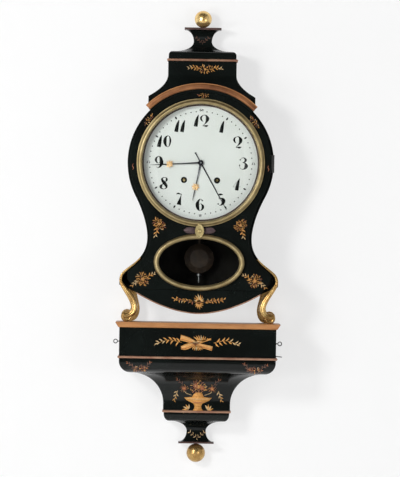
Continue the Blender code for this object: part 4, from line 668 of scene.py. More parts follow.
BRASS = Finish(
    "brass", "brass", (0.56, 0.44, 0.22), (0.40, 0.29, 0.13), (0.16, 0.10, 0.04),
    0.12, 1.0, (0.2, 0.36), scale=35.0,
)
OLD_BRASS = Finish(
    "bezel_brass", "brass", (0.41, 0.325, 0.165), (0.31, 0.235, 0.11), (0.14, 0.10, 0.05),
    0.15, 0.85, (0.34, 0.5), scale=48.0,
)
BOSS_BRASS = Finish(
    "boss_brass", "brass", (0.58, 0.48, 0.23), (0.48, 0.38, 0.17), (0.2, 0.14, 0.06),
    0.1, 0.6, (0.3, 0.44), scale=120.0,
)
PEWTER = Finish(
    "mauve_leaf", "brass", (0.10, 0.066, 0.068), (0.065, 0.042, 0.045), SMOKE,
    0.2, 0.6, (0.4, 0.55), scale=160.0,
)
# Tarnished brass, darkened further: painted shade for the bob hanging inside the dark case.
SHADED_BOB = Finish(
    "tarnished_and_shaded_bob", "brass", (0.036, 0.021, 0.011), (0.022, 0.013, 0.008), (0.012, 0.008, 0.005),
    0.25, 0.5, (0.42, 0.6), scale=60.0,
)
STEEL = Finish(
    "steel", "steel", (0.34, 0.35, 0.36), (0.24, 0.25, 0.26), (0.10, 0.07, 0.05),
    0.15, 1.0, (0.24, 0.4), scale=70.0, stretch=(1.0, 4.0, 1.0),
)
BLUED = Finish(
    "blued_steel", "blued_steel", (0.025, 0.025, 0.032), (0.012, 0.012, 0.016), (0.05, 0.04, 0.035),
    0.1, 0.8, (0.25, 0.4), scale=90.0,
)
BELL_METAL = Finish(
    "bell_metal", "bell_metal", (0.62, 0.55, 0.36), (0.46, 0.39, 0.22), SMOKE,
    0.1, 1.0, (0.18, 0.32), scale=60.0,
)
ENAMEL = Finish(
    "enamel", "enamel", (0.835, 0.85, 0.825), (0.80, 0.815, 0.785), (0.62, 0.63, 0.57),
    0.05, 0.0, (0.12, 0.2), scale=18.0, bump=0.01,
)
INK = Finish(
    "dial_black", "enamel", (0.002, 0.0025, 0.002), (0.004, 0.0045, 0.004), (0.015, 0.015, 0.013),
    0.1, 0.0, (0.3, 0.4), scale=200.0, bump=0.02, specular=0.1,
)
# Softwood grain, but a near-black tone: painted shade for the dark inside of the case.
SHADED_SOFTWOOD = Finish(
    "softwood", "softwood", (0.007, 0.006, 0.0046), (0.0046, 0.004, 0.0032), (0.003, 0.0025, 0.002),
    0.25, 0.0, (0.6, 0.8), scale=60.0, stretch=(1.0, 1.0, 0.08), bump=0.2, specular=0.08,
)
PINE = Finish(
    "raw_pine", "softwood", (0.50, 0.33, 0.17), (0.38, 0.23, 0.11), (0.20, 0.12, 0.06),
    0.2, 0.0, (0.6, 0.8), scale=60.0, stretch=(1.0, 1.0, 0.08), bump=0.2, specular=0.2,
)
GOLD_PAINT = Finish(
    "painted_gold", "gilt_wood", (0.74, 0.37, 0.095), (0.58, 0.25, 0.055), (0.12, 0.05, 0.02),
    0.15, 0.15, (0.4, 0.6), scale=BRUSHWORK,
)
CREAM_PAINT = Finish(
    "painted_cream", "gilt_wood", (0.70, 0.50, 0.26), (0.58, 0.37, 0.16), (0.16, 0.09, 0.04),
    0.15, 0.05, (0.45, 0.6), scale=BRUSHWORK,
)
RUST_PAINT = Finish(
    "painted_rust", "gilt_wood", (0.44, 0.15, 0.06), (0.30, 0.09, 0.04), (0.10, 0.03, 0.02),
    0.15, 0.05, (0.45, 0.6), scale=BRUSHWORK,
)
UMBER_PAINT = Finish(
    "painted_umber", "gilt_wood", (0.19, 0.085, 0.05), (0.11, 0.05, 0.035), (0.05, 0.02, 0.015),
    0.2, 0.0, (0.45, 0.6), scale=BRUSHWORK,
)
# Dark reddish brown: worn lacquer on the plates; on the ring inside the dial bezel it is painted shadow.
RUBBED_EDGE_AND_SHADE = Finish(
    "rubbed_edge_and_shade", "black_lacquer", (0.085, 0.038, 0.03), (0.05, 0.024, 0.02), (0.14, 0.08, 0.05),
    0.2, 0.0, (0.3, 0.45), scale=60.0,
)
BLACK_IRON = Finish(
    "black_iron", "iron", (0.007, 0.007, 0.0065), (0.004, 0.004, 0.004), (0.03, 0.018, 0.012),
    0.1, 0.2, (0.4, 0.55), scale=120.0,
)
GLASS = Glass("glass", "glass", (0.97, 0.985, 0.975))


def dress(made: Piece, finish: Look, body: str, *nodes: str) -> Piece:
    """Gives a new piece its finish and the body that carries it.

    Args:
        made: The piece.
        finish: Its finish.
        body: The body that it moves with.
        nodes: The solids that it stands for.

    Returns:
        The same piece.
    """
    made.data.materials.append(finish.material())
    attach(made, body)
    if nodes:
        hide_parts(*nodes)
    LOG.info("%s: %d faces, %s, on %s", made.name, len(made.data.polygons), finish.name, body)
    return made


def dress_solid(node: str, finish: Look) -> None:
    """Gives a solid that stays as it is a richer finish."""
    solid = bpy.data.objects[node]
    solid.data.materials.clear()
    solid.data.materials.append(finish.material())
    LOG.info("%s: kept, %s", node, finish.name)


def cove(wide: float, narrow: float, start: float, height: float, steps: int = 14) -> list[Point]:
    """Levels that draw in from wide to narrow along a hollow quarter curve."""
    spread = wide - narrow
    return [(start + height * (1 - cos(t)), wide - spread * sin(t)) for t in quarter(steps)]


def flare(narrow: float, wide: float, start: float, height: float, steps: int = 12) -> list[Point]:
    """Levels that open from narrow to wide along a hollow quarter curve."""
    spread = wide - narrow
    return [(start + height * sin(t), narrow + spread * (1 - cos(t))) for t in quarter(steps)]


def roll(top: float, height: float, half: float, proud: float, steps: int = 10) -> list[Point]:
    """Levels of a half-round moulding from the top down."""
    middle = top - height / 2
    turns = sweep(pi, steps)
    return [(middle + height / 2 * cos(t), half - proud + proud * sin(t)) for t in turns]


def half_at(levels: Points, height: float) -> float:
    """Half-width of a stack of levels at a height."""
    for (low, narrow), (high, wide) in zip(levels, levels[1:]):
        if min(low, high) <= height <= max(low, high):
            return lerp(narrow, wide, (height - low) / (high - low))
    return levels[-1][1]


class Stand(Enum):
    """What square mitred members stand on: a body, the depth of their back and the margin of their front."""

    BRACKET = (ROOT, 0.0, BRACKET_MARGIN)
    CLOCK_TOP = (HOOD, -CLOCK_BACK, HOOD_MARGIN)

    def member(self, name: str, levels: Points, finish: Finish, edge: float = 0.0012) -> None:
        """Builds and dresses a member that stands for a solid.

        Args:
            name: Name of the solid.
            levels: (height, half-width) pairs in order.
            finish: Finish of the member.
            edge: Rounding of its edges.
        """
        body, back, margin = self.value
        shape = Shape()
        shape.stack(levels, back, margin)
        shape.soften(edge)
        dress(shape.done(name + "_fine"), finish, body, name)

    def slip(self, name: str, heights: Point, half: float, finish: Finish = LACQUER) -> None:
        """Builds and dresses a plain square slip between two members.

        Args:
            name: Name of the piece.
            heights: Height of its two faces.
            half: Its half-width.
            finish: Its finish.
        """
        body, back, margin = self.value
        shape = Shape()
        shape.stack([(height, half) for height in heights], back, margin)
        dress(shape.done(name), finish, body)

    def ball(self, name: str, radius: float, height: float, plate_half: float, finish: Finish) -> None:
        """Builds and dresses a turned ball above or below the middle of a plate.

        Args:
            name: Name of the solid that it stands for.
            radius: Its radius.
            height: Height of its middle.
            plate_half: Half-width of the plate.
            finish: Its finish.
        """
        body, back, margin = self.value
        middle = Vector((0, back - (plate_half + margin) / 2, height))
        profile = [(radius * sin(t), -radius * cos(t)) for t in sweep(pi, 28)]
        shape = Shape()
        shape.lathe(profile, Axis.Z, middle, 64)
        dress(shape.done(name + "_fine"), finish, body, name)


MOULDING_EDGE = 0.0008
MOULDING_ROUND = 0.0028
PLATE_LAP = 0.0015
FOOT_TRIES = 60
SHELF_CYMA = [(0.0, 0.0), (0.10, 0.22), (0.34, 0.46), (0.58, 0.70), (0.80, 0.90), (0.86, 1.0), (1.0, 1.0)]


@dataclass
class Bracket:
    """The wall bracket: shelf, box, mouldings, ogee drop, pendant and ball, from the top down."""

    box_half: float = 0.1755
    box_top: float = 0.0315
    box_depth: float = 0.180
    shelf_half: float = 0.1845
    shelf_top: float = 0.044
    shelf_cove: float = 0.0075
    moulding: float = 0.0075
    bead: float = 0.0054
    upper_half: float = 0.179
    lower_half: float = 0.0776
    shoulder: float = 0.026
    shoulder_fall: float = 0.15
    drop_half: float = 0.0755
    hollow: float = 0.070
    straight: float = 0.015
    pendant_half: float = 0.074
    pendant_foot: float = 0.062
    ovolo: float = 0.017
    neck_step: float = 0.002
    neck_half: float = 0.0216
    neck_above: float = 0.023
    neck_below: float = 0.0242
    plate_half: float = 0.040
    plate_thick: float = 0.0043
    ball: float = 0.021

    def drop_levels(self) -> list[Point]:
        """Levels of the ogee drop: a rounded shoulder, a hollow and a short straight foot."""
        top = -self.box_top - self.moulding - SEAT
        levels = [(top, self.box_half)]
        for t in quarter(12):
            half = self.box_half - self.shoulder * (1 - cos(t))
            levels.append((top - self.shoulder * (self.shoulder_fall + sin(t)), half))
        height, wide = levels[-1]
        levels += cove(wide, self.drop_half, height, -self.hollow, 22)[1:]
        return levels + [(levels[-1][0] - self.straight, self.drop_half)]

    def pendant_levels(self) -> list[Point]:
        """Levels of the pendant: an ovolo and a hollow neck."""
        top = self.drop_levels()[-1][0] - self.moulding - SEAT
        foot = self.pendant_foot
        spread = self.pendant_half - foot
        levels = [(top - self.ovolo * sin(t), foot + spread * cos(t)) for t in quarter(10)]
        levels += cove(foot - self.neck_step, self.neck_half, levels[-1][0] - SEAT, -self.neck_above)
        levels += flare(self.neck_half, self.plate_half - PLATE_LAP, levels[-1][0], -self.neck_below)[1:]
        return levels

    def build(self) -> None:
        """Builds and dresses the whole bracket."""
        stand = Stand.BRACKET
        low = self.shelf_half - self.shelf_cove
        base = self.box_top + SEAT
        rise = self.shelf_top - base
        shelf = [(base + rise * up, low + self.shelf_cove * out) for up, out in SHELF_CYMA]
        stand.member("bracket_shelf", shelf, EDGE_GILT_AND_HIGHLIGHT, MOULDING_EDGE)
        upper = roll(-self.box_top - SEAT, self.bead, self.upper_half, MOULDING_ROUND)
        stand.member("bracket_upper_moulding", upper, DULL_COPPER, MOULDING_EDGE)
        drop = self.drop_levels()
        stand.slip("bracket_upper_fillet", (upper[-1][0] - SEAT, drop[0][0] + SEAT), self.box_half)
        stand.member("bracket_drop", drop, LACQUER)
        pendant = self.pendant_levels()
        lower = roll(drop[-1][0] - SEAT, self.bead, self.lower_half, MOULDING_ROUND)
        stand.member("bracket_lower_moulding", lower, DULL_COPPER, MOULDING_EDGE)
        stand.slip("bracket_lower_fillet", (lower[-1][0] - SEAT, pendant[0][0] + SEAT), self.pendant_half)
        stand.member("bracket_pendant", pendant, LACQUER)
        neck = pendant[-1][0]
        foot = neck - self.plate_thick
        stand.slip("bracket_plate", (neck - SEAT, foot + SEAT), self.plate_half, RUBBED_EDGE_AND_SHADE)
        stand.ball("bracket_ball", self.ball, foot - SEAT - self.ball, self.plate_half, GILT)
        for node in ("bracket_box", "side_door_left", "side_door_right"):
            dress_solid(node, LACQUER)


@dataclass
class Hood:
    """The square lift-off hood with its concave flare, moulding, cap and ball."""

    base: float = 0.533
    edge: float = 0.018
    base_half: float = 0.120
    half: float = 0.077
    flare: float = 0.050
    top: float = 0.630
    wall: float = 0.0075
    moulding: float = 0.0075
    bead: float = 0.0055
    moulding_half: float = 0.080
    ovolo_half: float = 0.0762
    ovolo_round: float = 0.0085
    ovolo: float = 0.0165
    neck_draw: float = 1.2
    neck_half: float = 0.0205
    neck_below: float = 0.0235
    neck_above: float = 0.0262
    cap_edge: float = 0.001
    plate_half: float = 0.0415
    plate_thick: float = 0.0048
    front_curve: float = 1.15
    side_curve: float = 2.0
    ball: float = 0.0194

    def body_levels(self, curve: float) -> list[Point]:
        """Levels of the hood from its lower edge to its moulding.

        Args:
            curve: How hollow the flare is: one is straight.

        Returns:
            (height, half-width) pairs.
        """
        rim = self.base + self.edge
        spread = self.base_half - self.half
        levels = [(self.base, self.base_half), (rim, self.base_half)]
        for share in shares(20)[1:]:
            levels.append((rim + self.flare * share, self.half + spread * (1 - share) ** curve))
        return levels + [(self.top, self.half)]

    def cap_levels(self) -> list[Point]:
        """Levels of the cap: an ovolo and a hollow neck."""
        base = self.top + self.moulding + SEAT
        ease = self.ovolo_round
        levels = [(base, self.ovolo_half)]
        for t in quarter(10):
            rise = self.ovolo - ease * (1 - sin(t))
            levels.append((base + rise, self.ovolo_half - ease * (1 - cos(t))))
        wide = self.ovolo_half - self.neck_draw * ease
        levels += cove(wide, self.neck_half, levels[-1][0] + SEAT, self.neck_below, 16)
        levels += flare(self.neck_half, self.plate_half - PLATE_LAP, levels[-1][0], self.neck_above, 14)[1:]
        return levels

    def saddle_height(self, across: float) -> float:
        """Height of the round saddle under the hood at a distance from the middle."""
        radius = CASE_RADIUS + 2 * SEAT
        return DIAL_HEIGHT + sqrt(max(radius**2 - across**2, 0.0))

    def build(self) -> None:
        """Builds and dresses the hood."""
        stand = Stand.CLOCK_TOP
        self.body()
        bead = roll(self.top + self.moulding, self.bead, self.moulding_half, MOULDING_ROUND)
        stand.member("hood_moulding", bead, DULL_COPPER, MOULDING_EDGE)
        stand.slip("hood_fillet", (self.top + SEAT, bead[-1][0] - SEAT), self.half)
        levels = self.cap_levels()
        stand.member("hood_cap", levels, LACQUER, self.cap_edge)
        under = levels[-1][0] + SEAT
        over = under + self.plate_thick
        stand.slip("hood_plate", (under, over), self.plate_half, RUBBED_EDGE_AND_SHADE)
        # The hood's ball takes the brighter gilt: painted light.
        stand.ball("hood_ball", self.ball, over + SEAT + self.ball, self.plate_half, LIT_BALL_GILT)

    def body(self) -> None:
        """The hollow hood, cut along its lower edge to sit on the round case."""
        shape = Shape()
        outer = shape.skin(self.rows(0.0))
        inner = shape.skin(self.rows(self.wall))
        for rows in (outer, inner):
            shape.bm.faces.new(rows[-1])
        shape.join_rows((outer[0], inner[0]))
        dress(shape.done("hood_fine"), LACQUER, HOOD, "hood")

    def rows(self, wall: float) -> list[list[Vector]]:
        """Rows of points round one skin of the hood, from the saddle up.

        Args:
            wall: Depth of this skin behind the outer one.

        Returns:
            The rows, each a loop of the same number of points.
        """
        levels = [(height, half - wall) for height, half in self.body_levels(self.side_curve)]
        levels[-1] = (self.top - wall, levels[-1][1])
        fronts = [(height, half - wall) for height, half in self.body_levels(self.front_curve)]
        across = [2 * share - 1 for share in shares(24)]
        rises = [(height - self.base) / (levels[-1][0] - self.base) for height, _ in levels]
        rows = [[] for _ in levels]
        for front, turns in ((True, across), (False, across[::-1])):
            for turn in turns:
                foot = self.foot(levels, turn)
                for row, share in zip(rows, rises):
                    height = lerp(foot, levels[-1][0], share)
                    half = half_at(levels, height)
                    ahead = half_at(fronts, height) + HOOD_MARGIN
                    depth = -CLOCK_BACK - (ahead if front else wall)
                    row.append(Vector((turn * half, depth, height)))
        return rows

    def foot(self, levels: Points, turn: float) -> float:
        """Height at which one column of the hood meets the saddle.

        Args:
            levels: Levels of the skin.
            turn: Place of the column, as a share of the half-width.

        Returns:
            The height.
        """
        height = self.base
        for _ in range(FOOT_TRIES):
            height = max(self.base, self.saddle_height(turn * half_at(levels, height)))
        return height


SCROLL_EYE = [(0.0, 0.0022), (0.0016, 0.0018), (0.0024, 0.0006), (0.0024, -0.001), (0.0, -0.001)]


@dataclass
class Case:
    """The waisted case: shell, back board, apron, arch moulding and scroll legs."""

    wall: float = 0.008
    shell_back: float = 0.014
    waist: Point = (0.117, 0.234)
    shoulder: Point = (0.1665, 0.160)
    bulge: Point = (0.178, 0.137)
    corner: Point = (0.137, 0.109)
    circle_end: float = radians(-28)
    slope: Point = (0.76, -0.65)
    lead: float = 0.025
    waist_pull: Point = (0.030, 0.044)
    ease: float = 0.010
    board: float = 0.0077
    panel: float = 0.0005
    panel_inset: float = 0.004
    corner_wall: float = 0.006
    slot_half: float = 0.034
    slot_front: float = -0.0613
    slot_back: float = -0.0413
    arch_inner: float = 0.1582
    arch_foot: float = 0.1645
    arch_outer: float = 0.1783
    arch_return: float = 0.1705
    arch_end: float = radians(45.4)
    arch_front: float = -0.164
    arch_rounds: Point = (0.0042, 0.0056)
    arch_step: float = 0.0014
    arch_arris: float = 0.0006
    return_span: Point = (0.002, 0.05)
    return_gaps: Point = (0.0002, 0.004)
    flange_gap: float = 0.0001
    lip: float = 0.0011
    lip_back: float = 0.0034
    apron_low: float = 0.064
    apron_top: float = 0.1176
    apron_corner: Point = (0.1391, 0.1085)
    apron_top_half: float = 0.1453
    apron_power: float = 1.85
    apron_round: float = 0.0006
    line_proud: float = 0.0002
    line_rise: float = 0.0012
    line_halves: Point = (0.0013, 0.0008)
    ankle_out: Point = (0.151, 0.078)
    edge_widths: Point = (0.0022, 0.0064)
    ankle_width: float = 0.0150
    toe_width: float = 0.0125
    toe_at: Point = (0.006, 1.75)
    crest: Point = (0.45, 0.0055)
    leg_bed: float = 0.001
    leg_depth: float = 0.040
    foot_from: Point = (0.108, 0.01)
    reed: float = 0.16
    swell: float = 0.84
    foot_bottom: float = 0.0443
    volute: float = 0.0118
    volute_half: float = 0.161
    volute_round: float = 0.0015
    drum_depth: float = 0.0390
    coil: float = 0.0016
    coil_inset: float = 0.0012
    coil_end: float = 0.0032
    coil_start: float = pi * 0.75
    coil_sweep: float = tau * 1.35
    leg_top: float = 0.190

    def side(self) -> list[Point]:
        """Right half of the case outline, from the top of the circle down to the bottom corner."""
        line = arc((0, DIAL_HEIGHT), CASE_RADIUS, pi / 2, self.circle_end, 64)
        x, z = line[-1]
        turn = self.circle_end
        lead, ease = self.lead, self.ease
        leave = (x + sin(turn) * lead, z - cos(turn) * lead)
        wx, wz = self.waist
        above, below = self.waist_pull
        line += bezier([(x, z), leave, (wx, wz + above), self.waist], 18)[1:]
        sx, sz = self.shoulder
        dx, dz = self.slope
        reach = (sx - dx * lead, sz - dz * lead)
        line += bezier([self.waist, (wx, wz - below), reach, self.shoulder], 24)[1:]
        bx, bz = self.bulge
        line += bezier([self.shoulder, (sx + dx * ease, sz + dz * ease), (bx, bz + ease), self.bulge], 10)[1:]
        return line + [(bx, bz - ease), self.corner]

    def inset_side(self, distance: float) -> list[Point]:
        """The case side moved inwards, point for point."""
        side = self.side()
        pairs = list(zip(side, headings(side)))
        moved = [(max(x + along.y * distance, 0.0), z - along.x * distance) for (x, z), along in pairs]
        return [(0.0, moved[0][1])] + moved[1:]

    def build(self) -> None:
        """Builds and dresses the case."""
        self.shell()
        back = Shape()
        back.plate(mirrored(self.side()), -CLOCK_BACK, -CLOCK_BACK - self.board)
        # The back board's inner face is near-black: painted shade inside the case.
        dress(back.done("case_back_fine"), SHADED_SOFTWOOD, ROOT, "case_back")
        rear = Shape()
        rear.plate(mirrored(self.inset_side(self.panel_inset)), -CLOCK_BACK + self.panel, -CLOCK_BACK)
        dress(rear.done("case_back_panel"), PINE, ROOT)
        # The seat board inside the case takes the same painted shade.
        dress_solid("seat_board", SHADED_SOFTWOOD)
        self.apron()
        self.apron_line()
        self.arch()
        self.arch_lip()
        self.flange()
        for side in Side:
            word = side.name.lower()
            dress(self.front_leg(side), GILT, ROOT, "leg_front_" + word)
            dress_solid("leg_rear_" + word, GILT)

    def shell(self) -> None:
        """The bent shell, with a slot in its crown for the bell hammer."""
        side = self.side()
        inner = self.inset_side(self.wall)
        inner[-1] = (self.corner[0] - self.corner_wall, self.corner[1] + self.wall)
        shape = Shape()
        for start, end, gap in (
            (-self.shell_back, self.slot_back, 0.0),
            (self.slot_back, self.slot_front, self.slot_half),
            (self.slot_front, -CASE_FRONT, 0.0),
        ):
            keep = [i for i, point in enumerate(inner) if point[0] >= gap]
            for way in (1, -1):
                band = [side[i] for i in keep] + [(0.0, self.corner[1])]
                band += [(0.0, inner[-1][1])] + [inner[i] for i in reversed(keep)]
                shape.plate([(way * x, z) for x, z in band], start, end)
        bmesh.ops.remove_doubles(shape.bm, verts=shape.bm.verts, dist=WELD)
        dress(shape.done("case_shell_fine"), LACQUER, ROOT, "case_shell")

    def apron_edge(self) -> list[Point]:
        """Right half of the apron's lower edge, from the corner to the middle."""
        x, z = self.apron_corner
        parts = [1 - share for share in shares(28)]
        return [(x * part, lerp(self.apron_low, z, part**self.apron_power)) for part in parts]

    def apron(self) -> None:
        """The shaped rail under the door."""
        shape = Shape()
        right = [(0.0, self.apron_top), (self.apron_top_half, self.apron_top)] + self.apron_edge()
        shape.plate(mirrored(right), -DOOR_BACK, -DOOR_FACE)
        shape.soften(self.apron_round, 1, radians(50))
        dress(shape.done("apron_fine"), LACQUER, ROOT, "apron")

    def apron_line(self) -> None:
        """The thin copper line along the apron's lower edge."""
        shape = Shape()
        edge = self.apron_edge()
        line = edge + [(-x, z) for x, z in reversed(edge[:-1])]
        path = [Vector((x, -DOOR_FACE - self.line_proud, z + self.line_rise)) for x, z in line]
        shape.tube(path, [self.line_halves] * len(path), Axis.Y.vector, 8)
        dress(shape.done("apron_gilt_line"), DULL_COPPER, ROOT)

    def arch(self) -> None:
        """The moulded arch over the door, with returns along both sides of the case."""
        inner, outer, front = self.arch_foot, self.arch_outer, self.arch_front
        small, large = self.arch_rounds
        low = front + self.arch_step
        section = [(inner, -DOOR_BACK)]
        section += [(inner + small * (1 - cos(t)), front + small * (1 - sin(t))) for t in quarter(6)]
        section += [(inner + large, front), (inner + large + self.arch_arris, low)]
        section += [(outer - large * (1 - sin(t)), low + large * (1 - cos(t))) for t in quarter(6)]
        section += [(outer, -DOOR_BACK)]
        shape = Shape()
        loops = []
        for share in shares(72):
            turn = lerp(self.arch_end, pi - self.arch_end, share)
            x, z = cos(turn), sin(turn)
            loops.append([Vector((radius * x, y, DIAL_HEIGHT + radius * z)) for radius, y in section])
        shape.loft(loops)
        first, last = (self.arch_end + angle for angle in self.return_span)
        strip = arc((0, DIAL_HEIGHT), CASE_RADIUS + SEAT, first, last, 8)
        strip += arc((0, DIAL_HEIGHT), self.arch_return, last, first, 8)
        near, far = -DOOR_BACK - self.return_gaps[0], -self.shell_back - self.return_gaps[1]
        for way in (-1, 1):
            shape.plate([(way * x, z) for x, z in strip], near, far)
        dress(shape.done("arch_moulding_fine"), COPPER, ROOT, "arch_moulding")

    def arch_lip(self) -> None:
        """The thin bright lip along the top of the arch, a painted highlight on its upper edge."""
        shape = Shape()
        line = arc((0, DIAL_HEIGHT), self.arch_outer - self.lip, self.arch_end, pi - self.arch_end, 72)
        path = [Vector((x, self.arch_front + self.lip_back, z)) for x, z in line]
        shape.tube(path, [(self.lip, self.lip)] * len(path), Axis.Y.vector, 10)
        dress(shape.done("arch_lip"), EDGE_GILT_AND_HIGHLIGHT, ROOT)

    def flange(self) -> None:
        """The black strip between the door's edge and the arch."""
        shape = Shape()
        first, last = self.arch_end, pi - self.arch_end
        strip = arc((0, DIAL_HEIGHT), self.arch_inner, first, last, 72)
        strip += arc((0, DIAL_HEIGHT), self.arch_foot - self.flange_gap, last, first, 72)
        shape.plate(strip, -DOOR_FACE, -DOOR_BACK)
        dress(shape.done("arch_flange"), LACQUER, ROOT)

    def leg_line(self) -> list[tuple[float, float, float]]:
        """Outer edge and width of a right-hand front leg, from the shoulder to the toe.

        Returns:
            (x, z, width) stations.
        """
        outer = [point for point in self.side() if self.bulge[1] <= point[1] <= self.leg_top]
        bx, bz = self.bulge
        ax, az = self.ankle_out
        calf = bezier([self.bulge, (bx, bz - 0.017), (ax + 0.002, az + 0.020), self.ankle_out], 18)[1:]
        slim, full = self.edge_widths
        ankle = self.ankle_width
        stations = []
        for x, z in outer:
            share = (self.leg_top - z) / (self.leg_top - bz)
            stations.append((x, z, lerp(slim, full, share**0.8)))
        for (x, z), turn in zip(calf, quarter(len(calf))[1:]):
            stations.append((x, z, lerp(full, ankle, sin(turn) ** 1.4)))
        tx, tz = self.volute_half + self.toe_at[0], self.foot_bottom + self.toe_at[1] * self.volute
        toe = bezier([self.ankle_out, (ax - 0.0010, az - 0.007), (ax + 0.004, tz - 0.003), (tx, tz)], 10)[1:]
        for (x, z), share in zip(toe, shares(len(toe))[1:]):
            stations.append((x, z, lerp(ankle, self.toe_width, share)))
        return stations

    def front_leg(self, side: Side) -> Piece:
        """A reeded scroll leg: a thin gilt edge on the shoulder that widens into the foot.

        Args:
            side: Which leg.

        Returns:
            The new piece.
        """
        way = side.value
        line = self.leg_line()
        shape = Shape()
        loops = []
        for (x, z, width), along in zip(line, headings(line)):
            inward = Vector((along.y, -along.x))
            rise = min(self.crest[0] * width, self.crest[1])
            low = min(max((self.foot_from[0] - z) / self.foot_from[1], 0.0), 1.0)
            deep = lerp(-DOOR_BACK, -DOOR_FACE + self.leg_depth, low)
            full = min(width / self.ankle_width, 1.0)
            section = []
            for share in shares(16):
                crown = sqrt(max(1 - (2 * share - 1) ** 2, 0.0)) * self.swell
                reed = self.reed * abs(sin(tau * share)) * full
                at = Vector((x, z)) + inward * width * share
                section.append(Vector((way * at.x, -DOOR_FACE + self.leg_bed - rise * (crown + reed), at.y)))
            far = Vector((x, z)) + inward * width
            section += [Vector((way * far.x, deep, far.y)), Vector((way * x, deep, z))]
            loops.append(section)
        shape.loft(loops)
        self.scroll(shape, way)
        return shape.done("leg_front_" + side.name.lower() + "_fine")

    def scroll(self, shape: Shape, way: int) -> None:
        """Adds the foot's drum with its raised coil and eye.

        Args:
            shape: The mesh of the leg.
            way: The leg's side, as a sign.
        """
        centre = Vector((way * self.volute_half, 0, self.foot_bottom + self.volute))
        soft = self.volute_round
        rim, back = -DOOR_FACE - soft, -DOOR_FACE + self.drum_depth
        drum = [(0.0, rim), (self.volute - soft, rim), (self.volute, rim + soft)]
        drum += [(self.volute, back), (0.0, back)]
        shape.lathe(drum, Axis.Y, centre, 48)
        coil = []
        for share in shares(48):
            turn = self.coil_start + share * self.coil_sweep
            radius = lerp(self.volute - self.coil_inset, self.coil_end, share)
            coil.append(centre + Vector((way * radius * cos(turn), rim, radius * sin(turn))))
        shape.tube(coil, [(self.coil, self.coil)] * len(coil), Axis.Y.vector, 8)
        shape.lathe([(radius, rim - rise) for radius, rise in SCROLL_EYE], Axis.Y, centre, 24)


BOSS_SECTION = [
    (1.0, 0.0), (1.0, 0.30), (0.96, 0.48), (0.89, 0.58), (0.80, 0.52), (0.70, 0.40), (0.5, 0.38),
    (0.02, 0.38),
]
LEAF_KNOTS = [
    (0.006, 0.0, 0.0072), (0.016, 0.0005, 0.0078), (0.026, 0.001, 0.0074), (0.031, 0.001, 0.0056),
    (0.0355, 0.001, 0.0016),
]
LEAF_SECTION = [(-0.0002, -1), (-0.0014, -1 / 3), (-0.0014, 1 / 3), (-0.0002, 1), (0.0008, 0)]


